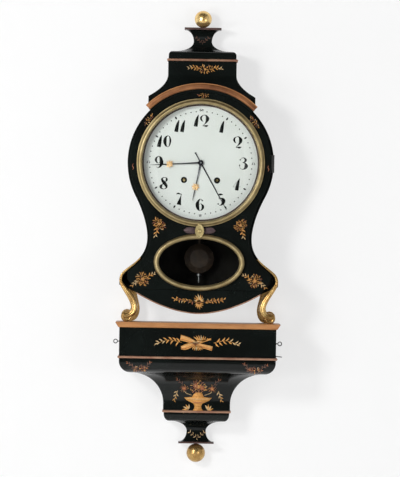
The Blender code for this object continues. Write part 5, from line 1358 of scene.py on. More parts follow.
@dataclass
class Door:
    """The full-height front door with its bezels, glasses, boss and hinge."""

    inset: float = 0.0062
    edge: float = 0.0005
    foot_half: float = 0.1605
    knee: float = 0.1405
    bottom: float = 0.118
    bottom_half: float = 0.1449
    round_inner: float = 0.1292
    round_border: float = 0.0146
    oval_at: float = 0.1795
    oval_half: Point = (0.090, 0.052)
    oval_border: float = 0.0118
    lap: float = 0.0013
    sight: Point = (0.1277, 0.1303)
    round_lip: float = 0.0018
    glass_lap: float = 0.004
    glass: float = 0.0025
    dome: float = 0.010
    proud: float = 0.0115
    step: float = 0.0044
    lip: float = 0.0056
    crest: float = 0.80
    steps: tuple[Point, ...] = ((1.0, 0.0034), (0.97, 0.0042), (0.84, 0.0044))
    sight_thick: float = 0.0022
    dome_ease: float = 0.002
    boss_at: float = 0.25015
    boss_half: Point = (0.0102, 0.0168)
    boss: float = 0.008
    peg: float = 0.006
    peg_sink: float = 0.001
    pearl: float = 0.0050
    pearl_seat: float = 0.3
    pearl_girdle: float = 0.0006
    leaf_bed: float = 0.0014
    leaf_arch: float = 0.0016
    leaf_length: float = 0.036
    leaf_notch: float = 0.22

    def outline(self, case: Case) -> list[Point]:
        """Outline of the door, set in from the case.

        Args:
            case: The case that the door closes.

        Returns:
            The closed outline.
        """
        edge = case.inset_side(self.inset)
        right = [point for point in edge if point[1] > self.knee and point[0] < self.foot_half]
        right += [(self.foot_half, self.knee), (self.bottom_half, self.bottom)]
        return mirrored(right)

    def build(self, case: Case) -> None:
        """Builds and dresses the door.

        Args:
            case: The case that the door closes.
        """
        board = Shape()
        window = arc((0, DIAL_HEIGHT), self.round_inner + self.lap, 0, tau, 128)[:-1]
        wide, tall = (half + self.lap for half in self.oval_half)
        oval = [(wide * cos(t), self.oval_at + tall * sin(t)) for t in circle(112)]
        board.pierced_plate(self.outline(case), [window, oval], -DOOR_BACK, -DOOR_FACE)
        board.soften(self.edge, 1, radians(60))
        dress(board.done("door_fine"), LACQUER, DOOR, "door")
        self.bezels()
        self.glasses()
        self.make_boss()
        self.wings()
        dress_solid("door_hinge_leaf", BLACK_IRON)
        dress_solid("case_hinge_leaf", BLACK_IRON)
        dress_solid("door_catch", BRASS)

    def bezel_section(self, border: float, stepped: bool) -> list[Point]:
        """Closed section of a bezel: a back, an outer edge, a crest and a lip over the glass.

        Args:
            border: Width of the ring.
            stepped: Whether the outside steps down before the rim.

        Returns:
            (distance outside the opening, depth) pairs.
        """
        back = -DOOR_FACE - SEAT
        lip = back - self.glass - 3 * SEAT
        section = [(self.glass_lap + SEAT, back), (border, back)]
        if stepped:
            section += [(border * share, back - rise) for share, rise in self.steps]
        crest = border * self.crest if stepped else border
        inner = self.round_lip if stepped else 0.0
        foot = back - self.step
        for turn in sweep(pi, 12)[1:-1]:
            across = lerp(inner, crest, 0.5 + 0.5 * cos(turn))
            section.append((across, foot - (self.proud - self.step) * sin(turn)))
        return section + [(inner, back - self.lip), (inner, lip), (self.glass_lap + SEAT, lip)]

    def bezels(self) -> None:
        """The stepped round bezel, a dark ring of painted shadow inside it, and the plain oval one."""
        ring = Shape()
        middle = Vector((0, 0, DIAL_HEIGHT))
        section = self.bezel_section(self.round_border, True)
        ring.oval_ring(section, middle, (self.round_inner, self.round_inner), 144)
        dress(ring.done("dial_bezel_fine"), OLD_BRASS, DOOR, "dial_bezel")
        # A thin dark ring on the dial's rim inside the bezel: painted shadow of the bezel's rebate on the
        # dial.
        sight = Shape()
        near, far = self.sight
        front = -DOOR_BACK - self.sight_thick
        hoop = [(near, -DOOR_BACK), (near, front), (far, front), (far, -DOOR_BACK), (near, -DOOR_BACK)]
        sight.lathe(hoop, Axis.Y, middle, 96)
        dress(sight.done("painted_shadow_ring"), RUBBED_EDGE_AND_SHADE, DOOR)
        oval = Shape()
        section = self.bezel_section(self.oval_border, False)
        oval.oval_ring(section, Vector((0, 0, self.oval_at)), self.oval_half, 128)
        dress(oval.done("oval_bezel_fine"), OLD_BRASS, DOOR, "oval_bezel")

    def glasses(self) -> None:
        """The domed glass over the dial and the flat one over the pendulum."""
        rim = self.round_inner + self.glass_lap
        shoulder = self.round_inner - self.dome_ease
        face = -DOOR_FACE - SEAT - self.glass
        front = [(shoulder * s, face - self.dome * (1 - s**2)) for s in shares(14)]
        back = [(radius, depth + self.glass) for radius, depth in reversed(front)]
        profile = front + [(rim, face), (rim, face + self.glass)] + back
        dome = Shape()
        dome.lathe(profile, Axis.Y, Vector((0, 0, DIAL_HEIGHT)), 96)
        dress(dome.done("dial_glass_fine"), GLASS, DOOR, "dial_glass")
        pane = Shape()
        wide, tall = (half + self.glass_lap for half in self.oval_half)
        middle = Vector((0, 0, self.oval_at))
        edge = [(radius, face) for radius in sweep(wide, 8)]
        edge += [(radius, face + self.glass) for radius, _ in reversed(edge)]
        pane.lathe(edge, Axis.Y, middle, 96)
        squeeze = Vector((1, 1, tall / wide))
        bmesh.ops.scale(pane.bm, vec=squeeze, space=Matrix.Translation(-middle), verts=pane.bm.verts)
        dress(pane.done("oval_glass_fine"), GLASS, DOOR, "oval_glass")

    def make_boss(self) -> None:
        """The pointed almond boss with its raised rim and pearl."""
        back = -DOOR_FACE - SEAT - self.proud - SEAT
        almond = [(cos(t) * sqrt(abs(cos(t))), sin(t)) for t in circle(48)]
        loops = []
        for scale, depth in BOSS_SECTION:
            wide, tall = self.boss_half[0] * scale, self.boss_half[1] * scale
            y = back - self.boss * depth
            loops.append([Vector((wide * u, y, self.boss_at + tall * v)) for u, v in almond])
        shape = Shape()
        shape.loft(loops)
        root, head = -DOOR_FACE - SEAT, back - self.peg_sink
        peg = [(0.0, root), (self.peg, root), (self.peg, head), (0.0, head)]
        shape.lathe(peg, Axis.Y, Vector((0, 0, self.boss_at)), 24)
        foot, tip = back - self.pearl_seat * self.boss, back - self.boss
        girdle = foot - self.pearl_girdle
        pearl = [(0.0, foot)]
        pearl += [(self.pearl * cos(t), lerp(girdle, tip, sin(t))) for t in quarter(8)]
        shape.lathe(pearl, Axis.Y, Vector((0, 0, self.boss_at)), 32)
        dress(shape.done("boss_fine"), BOSS_BRASS, DOOR, "boss")

    def wings(self) -> None:
        """The pair of dull leaves behind the boss."""
        shape = Shape()
        bed = -DOOR_FACE - SEAT - self.leaf_bed
        for way in (-1, 1):
            loops = []
            for i, (x, z, half) in enumerate(smooth_line(LEAF_KNOTS)):
                half *= 1.0 - self.leaf_notch * (i % 2)
                depth = bed - self.leaf_arch * sin(pi * min(x / self.leaf_length, 1.0))
                tall = self.boss_at + z
                loops.append([Vector((way * x, depth + y, tall + half * up)) for y, up in LEAF_SECTION])
            shape.loft(loops)
        dress(shape.done("boss_leaves"), PEWTER, DOOR)


def ribbon(shape: Shape, knots: Knots, surface: Surface, steps: int = 5) -> None:
    """Adds a flat stroke of changing width to a surface.

    Args:
        shape: The mesh that takes it.
        knots: (x, z, half-width) along the stroke.
        surface: Places a flat point in space.
        steps: Segments between two knots.
    """
    line = smooth_line(knots, steps)
    edges = []
    for (x, z, half), along in zip(line, headings(line)):
        sides = ((x - along.y * half, z + along.x * half), (x + along.y * half, z - along.x * half))
        edges.append([shape.bm.verts.new(surface(*side)) for side in sides])
    for (a, b), (c, d) in zip(edges, edges[1:]):
        shape.bm.faces.new((a, b, d, c))


def spot(shape: Shape, centre: Point, radius: float, surface: Surface, sides: int) -> None:
    """Adds a flat round spot of a number of sides to a surface."""
    x, z = centre
    shape.face(surface(x + radius * cos(t), z + radius * sin(t)) for t in circle(sides))


def finish_paint(shape: Shape, name: str, thick: float = PAINT_THICK) -> Piece:
    """Turns flat strokes into a thin raised layer.

    Args:
        shape: The mesh of strokes.
        name: Name of the piece.
        thick: Thickness of the layer.

    Returns:
        The new piece.
    """
    shape.bm.normal_update()
    turned = [face for face in shape.bm.faces if face.normal.y > 0]
    bmesh.ops.reverse_faces(shape.bm, faces=turned)
    made = shape.done(name, closed=False)
    layer = made.modifiers.new("layer", "SOLIDIFY")
    layer.thickness = thick
    layer.offset = 1.0
    return made


def turned_half(strokes: Sequence[Knots]) -> list[list[tuple[float, float, float]]]:
    """Strokes of a digit turned upside down."""
    return [[(-x, 1000 - z, half) for x, z, half in stroke] for stroke in strokes]


STEM = [(-110, 0, 127), (-60, 300, 118), (0, 600, 98), (70, 850, 60), (130, 1000, 18)]
SIX = [
    [
        (170, 900, 20), (40, 985, 20), (-150, 820, 75), (-230, 500, 122), (-150, 150, 85), (0, 10, 20),
        (170, 120, 60), (240, 320, 88), (170, 500, 55), (40, 585, 16), (-120, 500, 14),
    ],
]
DIGITS = {
    "0": [
        [
            (30, 985, 14), (-160, 820, 75), (-230, 500, 112), (-160, 180, 75), (30, 15, 14),
            (170, 180, 45), (230, 550, 68), (170, 840, 45), (30, 985, 14),
        ],
    ],
    "1": [STEM],
    "2": [
        [(-80, 975, 16), (-250, 850, 55), (-290, 680, 70), (-200, 500, 40), (-100, 440, 12)],
        [(-80, 980, 16), (120, 955, 45), (260, 700, 115), (190, 450, 80), (30, 240, 30), (-140, 90, 14)],
        [(-150, 70, 14), (20, 80, 40), (160, 60, 68), (330, 110, 14)],
    ],
    "3": [
        [(-220, 830, 14), (-20, 985, 18), (160, 930, 50), (240, 790, 85), (150, 650, 50), (-20, 580, 15)],
        [
            (-20, 580, 15), (180, 520, 50), (290, 290, 120), (170, 80, 70), (-30, 10, 20),
            (-220, 100, 14), (-270, 320, 12),
        ],
    ],
    "4": [
        [(x + 100, z, 0.92 * half) for x, z, half in STEM],
        [(200, 970, 10), (-330, 300, 10)],
        [(-330, 290, 11), (310, 290, 11)],
    ],
    "5": [
        [(-200, 900, 40), (-60, 935, 70), (140, 920, 18)],
        [(-190, 920, 14), (-190, 550, 14)],
        [
            (-190, 550, 14), (-10, 610, 35), (160, 510, 100), (200, 340, 122), (80, 100, 70),
            (-100, 10, 22), (-240, 100, 14),
        ],
    ],
    "6": SIX,
    "7": [
        [(-250, 890, 16), (-130, 955, 50), (20, 935, 52), (150, 880, 20), (220, 930, 12)],
        [(210, 920, 12), (140, 720, 30), (90, 500, 65), (30, 250, 108), (-20, 0, 150)],
    ],
    "8": [
        [
            (60, 985, 18), (-120, 930, 45), (-170, 790, 75), (20, 520, 112), (210, 260, 85),
            (160, 80, 40), (-20, 12, 18), (-220, 80, 60), (-260, 240, 95), (-120, 420, 30),
            (100, 600, 20), (220, 780, 75), (200, 920, 50), (60, 985, 18),
        ],
    ],
    "9": turned_half(SIX),
}
DIGIT_BALLS = {
    "3": [(-220, 810, 58), (-270, 340, 58)],
    "5": [(-250, 130, 58)],
    "6": [(180, 870, 62)],
}
DIGIT_UNIT = 0.001  # strokes are in thousandths of a digit's height
SWELL = 2.35
SLIM_STEP = 0.49
FULL_STEP = 0.77


def write_number(shape: Shape, text: str, middle: Point, height: float, surface: Surface) -> None:
    """Writes a number upright in thick and thin strokes.

    Args:
        shape: The mesh that takes it.
        text: The digits.
        middle: Middle of the number.
        height: Height of the digits.
        surface: Places a flat point in space.
    """
    steps = [height * (SLIM_STEP if digit == "1" else FULL_STEP) for digit in text]
    left = middle[0] - sum(steps) / 2
    for digit, step in zip(text, steps):
        centre = left + step / 2
        left += step

        def put(x: float, z: float, centre: float = centre) -> Vector:
            """A point of the digit in space."""
            return surface(centre + x * height, middle[1] + (z - 0.5) * height)

        for stroke in DIGITS[digit]:
            knots = [[value * DIGIT_UNIT for value in knot] for knot in stroke]
            ribbon(shape, [(x, z, half * (1 + SWELL * half)) for x, z, half in knots], put)
        for ball in DIGIT_BALLS.get(digit, ()):
            x, z, radius = (value * DIGIT_UNIT for value in ball)
            spot(shape, (x, z), radius, put, 16)


MARK_SWELL = ((-1.0, 0.35), (-0.3, 1.0), (0.4, 0.85), (1.0, 0.2))
WINDING_RIM = [
    (0.0033, -0.001), (0.0033, 0.0005), (0.0037, 0.0008), (0.0062, 0.0008), (0.0069, 0.0004),
    (0.0070, 0.00005), (0.0060, 0.00005), (0.0060, -0.001), (0.0033, -0.001),
]


@dataclass
class Dial:
    """The enamel dial with its figures, minute track and winding rims."""

    face: float = 0.1385
    figures_at: float = 0.0942
    figure: float = 0.0265
    dots_at: float = 0.1148
    mark: Point = (0.0036, 0.0018)
    dot: float = 0.0014
    quarters_at: float = 0.1180
    quarter_figure: float = 0.0060
    winding: Point = (0.037, -0.039)
    lift: float = 0.00004
    ink: float = 0.00008

    def surface(self, x: float, z: float) -> Vector:
        """A point on the face of the dial, measured from its middle."""
        return Vector((x, -self.face - self.lift, DIAL_HEIGHT + z))

    def at(self, minute: float, radius: float) -> Point:
        """The place of a minute at a radius."""
        turn = tau * minute / 60
        return radius * sin(turn), radius * cos(turn)

    def build(self) -> None:
        """Builds and dresses the dial."""
        dress_solid("dial", ENAMEL)
        hours = Shape()
        for hour in range(1, 13):
            place = self.at(hour * 5, self.figures_at)
            write_number(hours, str(hour), place, self.figure, self.surface)
        dress(finish_paint(hours, "hour_figures", self.ink), INK, ROOT)
        track = Shape()
        for minute in range(60):
            if minute % 15 == 0:
                place = self.at(minute, self.quarters_at)
                write_number(track, str(minute or 60), place, self.quarter_figure, self.surface)
            elif minute % 5 == 0:
                reach, half = self.mark
                knots = [(*self.at(minute, self.dots_at + reach * u), half * v) for u, v in MARK_SWELL]
                ribbon(track, knots, self.surface)
            else:
                spot(track, self.at(minute, self.dots_at), self.dot, self.surface, 10)
        dress(finish_paint(track, "minute_track", self.ink), INK, ROOT)
        rims = Shape()
        x, z = self.winding
        ring = [(radius, -self.face - proud) for radius, proud in WINDING_RIM]
        for way in (-1, 1):
            rims.lathe(ring, Axis.Y, Vector((way * x, 0, DIAL_HEIGHT + z)), 36)
        dress(rims.done("winding_rims"), INK, ROOT)


@dataclass(frozen=True)
class Hand:
    """One hand: its body, its angle from twelve in degrees, its depth, and (reach, half-width) knots."""

    name: str
    body: str
    clockwise: float
    depth: float
    bore: float
    knots: tuple[Point, ...]
    blossom_at: float = 0.0

    def put(self, across: float, reach: float) -> Vector:
        """A point on the back of the hand.

        Args:
            across: Distance to the right of its middle line.
            reach: Distance along it from the dial's middle.

        Returns:
            The point in space.
        """
        turn = radians(self.clockwise)
        x = across * cos(turn) + reach * sin(turn)
        z = reach * cos(turn) - across * sin(turn)
        return Vector((x, -self.depth, DIAL_HEIGHT + z))


HANDS = (
    Hand(
        "minute", "minute_work", 266.6, 0.1439, 0.0021,
        ((0.004, 0.0021), (0.030, 0.0013), (0.058, 0.0012), (0.084, 0.0011), (0.113, 0.0003)), 0.070,
    ),
    Hand(
        "hour", "hour_work", 191.4, 0.1418, 0.0038,
        ((0.004, 0.0024), (0.026, 0.0012), (0.046, 0.0011), (0.068, 0.0011), (0.0865, 0.0004)), 0.0556,
    ),
    Hand(
        "alarm", "alarm", 150.5, 0.1397, 0.0043,
        ((-0.026, 0.0022), (-0.021, 0.0013), (-0.014, 0.0012), (0, 0.0015), (0.05, 0.0012), (0.12, 0.0005)),
    ),
)
BLOSSOM = ((0.98, -0.2), (1.0, 0.3), (0.82, 0.75), (0.55, 0.95), (0.3, 0.6), (0.22, 0.9), (0.08, 1.1))


@dataclass
class Hands:
    """The blued hour and minute hands with gilt blossoms, and the thin hand behind them."""

    thick: float = 0.0009
    ridge: float = 0.55
    hub: float = 0.0062
    hub_round: float = 0.0006
    blossom: float = 0.0096
    blossom_width: float = 0.92
    petals: int = 8
    petal_cut: float = 0.42

    def rod(self, hand: Hand) -> Piece:
        """One hand with its hub.

        Args:
            hand: Which hand.

        Returns:
            The new piece.
        """
        shape = Shape()
        front = Vector((0, -self.thick, 0))
        loops = []
        for reach, half in smooth_line(hand.knots, 6):
            left, middle, right = (hand.put(across, reach) for across in (-half, 0.0, half))
            loops.append([left, left + front * self.ridge, middle + front, right + front * self.ridge, right])
        shape.loft(loops)
        back = -hand.depth
        face = back - self.thick * 1.2
        collar = [(hand.bore, back), (hand.bore, face), (self.hub - self.hub_round, face)]
        collar += [(self.hub, back - self.thick * 0.7), (self.hub, back), (hand.bore, back)]
        shape.lathe(collar, Axis.Y, Vector((0, 0, DIAL_HEIGHT)), 40)
        return shape.done(hand.name + "_hand_fine")

    def flower(self, hand: Hand) -> Piece:
        """The gilt blossom on a hand.

        Args:
            hand: Which hand.

        Returns:
            The new piece.
        """
        shape = Shape()
        front = Vector((0, -self.thick * 1.05, 0))
        loops = []
        for scale, lift in BLOSSOM:
            cut = self.petal_cut * min(scale * 1.6, 1.0)
            loop = []
            for turn in circle(48):
                grow = self.blossom * scale * (1 - cut * (0.5 - 0.5 * cos(self.petals * turn)))
                across = grow * cos(turn) * self.blossom_width
                at = hand.put(across, hand.blossom_at + grow * sin(turn))
                loop.append(at + front * max(lift, 0.0))
            loops.append(loop)
        shape.loft(loops)
        return shape.done(hand.name + "_blossom")

    def build(self) -> None:
        """Builds and dresses the three hands."""
        for hand in HANDS:
            dress(self.rod(hand), BLUED, hand.body, hand.name + "_hand")
            if hand.blossom_at:
                dress(self.flower(hand), HAND_GILT, hand.body)


class Paint(Enum):
    """The four paints of the flower work."""

    GOLD = GOLD_PAINT
    CREAM = CREAM_PAINT
    RUST = RUST_PAINT
    UMBER = UMBER_PAINT


GOLD, CREAM, RUST, UMBER = Paint
MILLIMETRE = 0.001
PETAL_TURN = 0.09  # by the flower's place, so that no two look alike


class Painting:
    """Flower work in a few paints on one surface, drawn in millimetres from a place in metres."""

    def __init__(self, name: str, body: str, surface: Surface) -> None:
        """Starts an empty painting.

        Args:
            name: First part of its pieces' names.
            body: The body that it moves with.
            surface: Places a flat point in space.
        """
        self.name = name
        self.body = body
        self.surface = surface
        self.layers = {paint: Shape() for paint in Paint}
        self.used: set[Paint] = set()
        self.lift = Vector((0, -PAINT_THICK, 0))
        self.place((0.0, 0.0))

    def place(self, at: Point, angle: float = 0.0, size: float = 1.0, mirror: bool = False) -> "Painting":
        """Sets where and how the next strokes lie.

        Args:
            at: Origin of the motif.
            angle: Its turn in degrees, anticlockwise.
            size: Its scale.
            mirror: Whether left and right change places.

        Returns:
            The painting.
        """
        turn = radians(angle)
        self.origin = Vector(at)
        across = Vector((cos(turn), sin(turn)))
        self.axes = (-across if mirror else across, Vector((-sin(turn), cos(turn))))
        self.size = size * MILLIMETRE
        return self

    def put(self, x: float, z: float) -> Vector:
        """A point of the motif in space."""
        flat = self.origin + (self.axes[0] * x + self.axes[1] * z) * self.size
        return self.surface(flat.x, flat.y)

    def put_over(self, x: float, z: float) -> Vector:
        """A point on top of what is painted there already."""
        return self.put(x, z) + self.lift

    def layer(self, paint: Paint) -> Shape:
        """The mesh of one paint."""
        self.used.add(paint)
        return self.layers[paint]

    def stroke(self, paint: Paint, *knots: Sequence[float]) -> None:
        """A brush stroke through (x, z, half-width) knots."""
        ribbon(self.layer(paint), knots, self.put, 4)

    def over(self, paint: Paint, *knots: Sequence[float]) -> None:
        """A thin stroke on top of a broad one."""
        ribbon(self.layer(paint), knots, self.put_over, 4)

    def leaf(self, paint: Paint, at: Point, angle: float, length: float, fat: float) -> None:
        """A pointed leaf.

        Args:
            paint: Its paint.
            at: Its root.
            angle: Its direction in degrees, anticlockwise from the right.
            length: Its length.
            fat: Its width as a share of its length.
        """
        turn = radians(angle)
        bend = turn + 0.35
        half = length * fat / 2
        middle = (at[0] + 0.5 * length * cos(turn), at[1] + 0.5 * length * sin(turn))
        tip = (middle[0] + 0.5 * length * cos(bend), middle[1] + 0.5 * length * sin(bend))
        self.stroke(paint, (*at, half * 0.25), (*middle, half), (*tip, half * 0.08))

    def flower(self, paint: Paint, at: Point, radius: float, heart: Paint) -> None:
        """A flower of petals with a heart.

        Args:
            paint: Paint of its petals.
            at: Its middle.
            radius: Its radius.
            heart: Paint of its heart.
        """
        for start in circle(5):
            turn = start + at[0] * PETAL_TURN
            middle = (at[0] + 0.6 * radius * cos(turn), at[1] + 0.6 * radius * sin(turn))
            spot(self.layer(paint), middle, 0.44 * radius, self.put, 8)
        spot(self.layer(heart), at, 0.24 * radius, self.put_over, 8)

    def sprig(self, start: Point, end: Point, leaves: int, length: float, paint: Paint, tip: Paint) -> None:
        """A thin stem with leaves on both sides.

        Args:
            start: Its root.
            end: Its tip.
            leaves: Number of leaves.
            length: Length of a leaf.
            paint: Paint of the stem and lower leaves.
            tip: Paint of the outer leaves.
        """
        rise = ((start[0] + end[0]) / 2, (start[1] + end[1]) / 2 + 0.12 * abs(end[0] - start[0]))
        self.stroke(paint, (*start, 0.5), (*rise, 0.4), (*end, 0.3))
        line = smooth_line([start, rise, end], 10)
        heading = degrees(atan2(end[1] - start[1], end[0] - start[0]))
        for i, share in enumerate(shares(leaves)[1:]):
            at = line[round(share * (len(line) - 1))]
            side = (42 if i % 2 else -52) * (1.15 - 0.5 * share)
            self.leaf(tip if share > 0.6 else paint, at, heading + side, length * (1.1 - 0.35 * share), 0.27)

    def finish(self) -> None:
        """Dresses the paints that were used."""
        for paint in Paint:
            if paint in self.used:
                made = finish_paint(self.layers[paint], f"{self.name}_{paint.name.lower()}")
                dress(made, paint.value, self.body)
            else:
                self.layers[paint].bm.free()


Mix = tuple[float, float, float, float]
GOLDEN_TURN = pi * (3 - sqrt(5))
BRIGHT = (0.72, 0.12, 0.11, 0.05)
MUTED = (0.45, 0.12, 0.25, 0.18)
DIM = (0.14, 0.08, 0.30, 0.48)
RUDDY = (0.32, 0.10, 0.38, 0.20)
WARM = (0.42, 0.08, 0.35, 0.15)
QUIVER = ((-38.5, 12, 6.2), (-20, 7, 5.6), (4, -3.5, 4.2), (33, -11.5, 5.2))
TORCH = ((-37, -10.5, 3.4), (-27, -9, 6.2), (-8, -1.5, 4.6), (6, 3.5, 3.2))
TORCH_TIP = (30, 10, 2)
URN = (
    (4.5, 20), (10, 16.5), (13.5, 9.8), (31.5, 8.5), (25, 2), (10, -5), (7.5, -11), (8.5, -16), (12, -21),
)
URN_AT = (0.003, -0.1340)


class Decoration:
    """The gilt and coloured flower work on hood, door, apron and bracket."""

    def __init__(self, bracket: Bracket, hood: Hood) -> None:
        """Takes the forms that carry the painting.

        Args:
            bracket: The bracket.
            hood: The hood.
        """
        self.drop = bracket.drop_levels()
        self.pendant = bracket.pendant_levels()
        self.cap = hood.cap_levels()
        self.hood_half = hood.half
        self.box_depth = bracket.box_depth
        self.chance = random.Random(7)

    def flat(self, depth: float) -> Surface:
        """The surface of a flat front at a depth."""
        return lambda x, z: Vector((x, -depth - PAINT_LIFT, z))

    def curved(self, levels: Points, back: float, margin: float) -> Surface:
        """The surface of the front of a mitred form."""
        return lambda x, z: Vector((x, back - half_at(levels, z) - margin - PAINT_LIFT, z))

    def build(self) -> None:
        """Paints everything."""
        self.hood()
        self.door()
        self.apron()
        self.box()
        self.urn()
        self.necks()

    def posy(
        self, work: Painting, at: Point, halves: Point, count: int, lean: float = 0.0, mix: Mix = BRIGHT
    ) -> None:
        """A dense oval bunch of small petals and leaves, with a flower in its heart.

        Args:
            work: The painting, already placed.
            at: Middle of the bunch.
            halves: Its half-width and half-height.
            count: Number of petals.
            lean: Turn of the oval in degrees.
            mix: How often each paint is used.
        """
        tilt = radians(lean)
        for i in range(count):
            turn = GOLDEN_TURN * i
            reach = sqrt((i + 0.6) / count)
            u, v = halves[0] * reach * cos(turn), halves[1] * reach * sin(turn)
            x = at[0] + u * cos(tilt) - v * sin(tilt)
            z = at[1] + u * sin(tilt) + v * cos(tilt)
            heading = degrees(turn) + lean + self.chance.uniform(-50, 50)
            paint = self.chance.choices(list(Paint), mix)[0]
            work.leaf(paint, (x, z), heading, max(halves) * self.chance.uniform(0.26, 0.40), 0.29)
        work.flower(GOLD, at, 0.36 * min(halves), CREAM)

    def hood(self) -> None:
        """The spray on the straight front of the hood."""
        work = Painting("hood_spray", HOOD, self.flat(CLOCK_BACK + self.hood_half + HOOD_MARGIN))
        work.place((0.006, 0.6145))
        self.posy(work, (0, 0), (16.5, 7), 30)
        for way in (-1, 1):
            work.sprig((way * 13, 0), (way * 36, 2), 7, 8.8, GOLD, CREAM)
        work.finish()

    def door(self) -> None:
        """The sprays round the dial, beside the boss and in the lower corners."""
        work = Painting("door_sprays", DOOR, self.flat(DOOR_FACE))
        work.place((0.004, 0.5535))
        self.posy(work, (0, 0), (11.5, 3), 18)
        for way in (-1, 1):
            work.place((way * 0.1185, DIAL_HEIGHT + 0.0935), -way * 52)
            self.posy(work, (0, 0), (14, 3.6), 22, mix=MUTED)
            work.place((way * 0.1515, DIAL_HEIGHT - 0.011), 90 * way, 0.8)
            work.stroke(RUST, (-8, 1.2, 0.4), (-2, -1.8, 0.8), (4, 1.5, 0.8), (9, -1, 0.4))
            work.place((way * 0.0935, 0.2600), mirror=way > 0)
            self.posy(work, (2, 4), (14, 9.2), 44, -38)
            work.sprig((0, -3), (-5, -22), 5, 9.5, GOLD, CREAM)
            work.place((way * 0.1265, 0.1390), mirror=way > 0)
            self.posy(work, (1, 1), (14, 11.8), 50, -45)
            work.sprig((9, 3), (26, 13), 6, 8.5, GOLD, CREAM)
            work.sprig((-8, -4), (-22, -14), 5, 8.5, CREAM, GOLD)
        work.finish()

    def apron(self) -> None:
        """The garland with its palmette."""
        work = Painting("apron_garland", ROOT, self.flat(DOOR_FACE))
        work.place((0.0015, 0.0905))
        for i in range(9):
            work.leaf(CREAM if i % 3 == 1 else GOLD, (0, 0), 10 + 20 * i, 19.5 - 1.8 * abs(i - 4), 0.16)
        for i in range(7):
            work.leaf(GOLD, (0, -2), 195 + 25 * i, 15 - 1.4 * abs(i - 3), 0.19)
        work.flower(RUST, (0, 0), 5, GOLD)
        for way in (-1, 1):
            for i in range(12):
                turn = self.chance.uniform(-25, 25)
                paint = self.chance.choices(list(Paint), BRIGHT)[0]
                heading = 90 - way * (40 + turn) if i % 2 else -90 + way * (35 + turn)
                work.leaf(paint, (way * (14 + 3.7 * i), 1.2 + 0.5 * i), heading, 7.4, 0.30)
            for i in range(3):
                work.flower(GOLD, (way * (20 + 15 * i), 2.5 + 1.8 * i), 3.4, RUST)
            work.stroke(UMBER, (way * 8, 0, 0.4), (way * 30, 3, 0.5), (way * 57, 6, 0.3))
        work.finish()

    def box(self) -> None:
        """The trophy of a quiver and a torch with leaf sprigs on the bracket box."""
        work = Painting("bracket_trophy", ROOT, self.flat(self.box_depth))
        work.place((0.0, -0.001))
        work.stroke(GOLD, *QUIVER)
        work.stroke(GOLD, *TORCH, TORCH_TIP)
        for line in (QUIVER, TORCH):
            for lift, paint in ((0.55, CREAM), (-0.5, RUST)):
                work.over(paint, *((x, z + lift * half, 0.6) for x, z, half in line))
        for i in range(7):
            work.leaf(CREAM if i == 3 else GOLD, (1 + 1.6 * i, 4), 125 - 17 * i, 15, 0.17)
            work.leaf(CREAM if i == 2 else GOLD, (-5 + 1.8 * i, -6), 222 + 16 * i, 11.5, 0.20)
        for way in (-1, 1):
            work.sprig((way * 36, 1), (way * 90, -1), 12, 11.8, GOLD, CREAM)
        work.finish()

    def urn(self) -> None:
        """The urn with flowers on the ogee drop and a cluster on each shoulder."""
        work = Painting("bracket_urn", ROOT, self.curved(self.drop, 0.0, BRACKET_MARGIN))
        work.place(URN_AT)
        for (wide, high), (slim, low) in zip(URN, URN[1:]):
            corners = [(-wide, high), (-slim, low), (slim, low), (wide, high)]
            work.layer(GOLD).face(work.put(x, z) for x, z in corners)
        work.over(CREAM, (-28, 6.6, 0.6), (0, 4.8, 0.9), (28, 6.6, 0.6))
        work.over(RUST, (-12, -1.2, 0.6), (0, -3, 1), (12, -1.2, 0.6))
        work.stroke(RUST, (-30, -21.7, 0.6), (0, -21.9, 0.9), (32, -21.7, 0.6))
        self.posy(work, (0, 33), (16.5, 13), 48, mix=RUDDY)
        work.flower(RUST, (-6, 35), 6, CREAM)
        work.flower(RUST, (8, 31), 5.6, GOLD)
        for way in (-1, 1):
            self.posy(work, (way * 31.5, 29), (8.5, 7.5), 22, mix=WARM)
            work.flower(RUST, (way * 31.5, 29), 5, GOLD)
            work.stroke(CREAM, (way * 14, 14, 0.4), (way * 26, 18, 0.5), (way * 31, 23, 0.4))
            work.sprig((way * 46, 24), (way * 53, 3), 6, 8.5, CREAM, GOLD)
            work.sprig((way * 34, 36), (way * 47, 49), 5, 7, UMBER, RUST)
            for i in range(5):
                work.leaf(GOLD if i % 2 else CREAM, (way * 22, -19.5), 90 + way * (18 - 33 * i), 13.5, 0.26)
            work.place((way * 0.1300, -0.0565), mirror=way > 0)
            self.posy(work, (2, -3.5), (16, 4.8), 34, mix=DIM)
            work.flower(UMBER, (-7, -1), 4, GOLD)
            work.flower(UMBER, (12, 0), 3.6, GOLD)
            work.sprig((15, 0), (25, 10.5), 5, 6.8, UMBER, RUST)
            work.sprig((-13, -1), (-26, 8.5), 5, 6.8, UMBER, RUST)
            work.place(URN_AT)
        work.finish()

    def necks(self) -> None:
        """The small festoons on both hollow necks."""
        upper = Painting("cap_festoon", HOOD, self.curved(self.cap, -CLOCK_BACK, HOOD_MARGIN))
        self.festoon(upper.place((-0.001, 0.6800), size=0.85), UMBER)
        lower = Painting("pendant_festoon", ROOT, self.curved(self.pendant, 0.0, BRACKET_MARGIN))
        self.festoon(lower.place((0.002, -0.2130)), CREAM)

    def festoon(self, work: Painting, paint: Paint) -> None:
        """A sparse hanging V of leaves.

        Args:
            work: The painting, already placed.
            paint: Paint of its leaves.
        """
        for way in (-1, 1):
            for step in range(3):
                at = (way * (3 + 6.2 * step), -3 + 5 * step)
                for spread in (-12, 96):
                    work.leaf(paint, at, 90 - way * spread, 6.2, 0.24)
            work.stroke(UMBER, (0, -5, 0.3), (way * 8, 0, 0.3), (way * 18, 10.5, 0.3))
        work.leaf(paint, (0, -5), 270, 5, 0.3)
        work.finish()


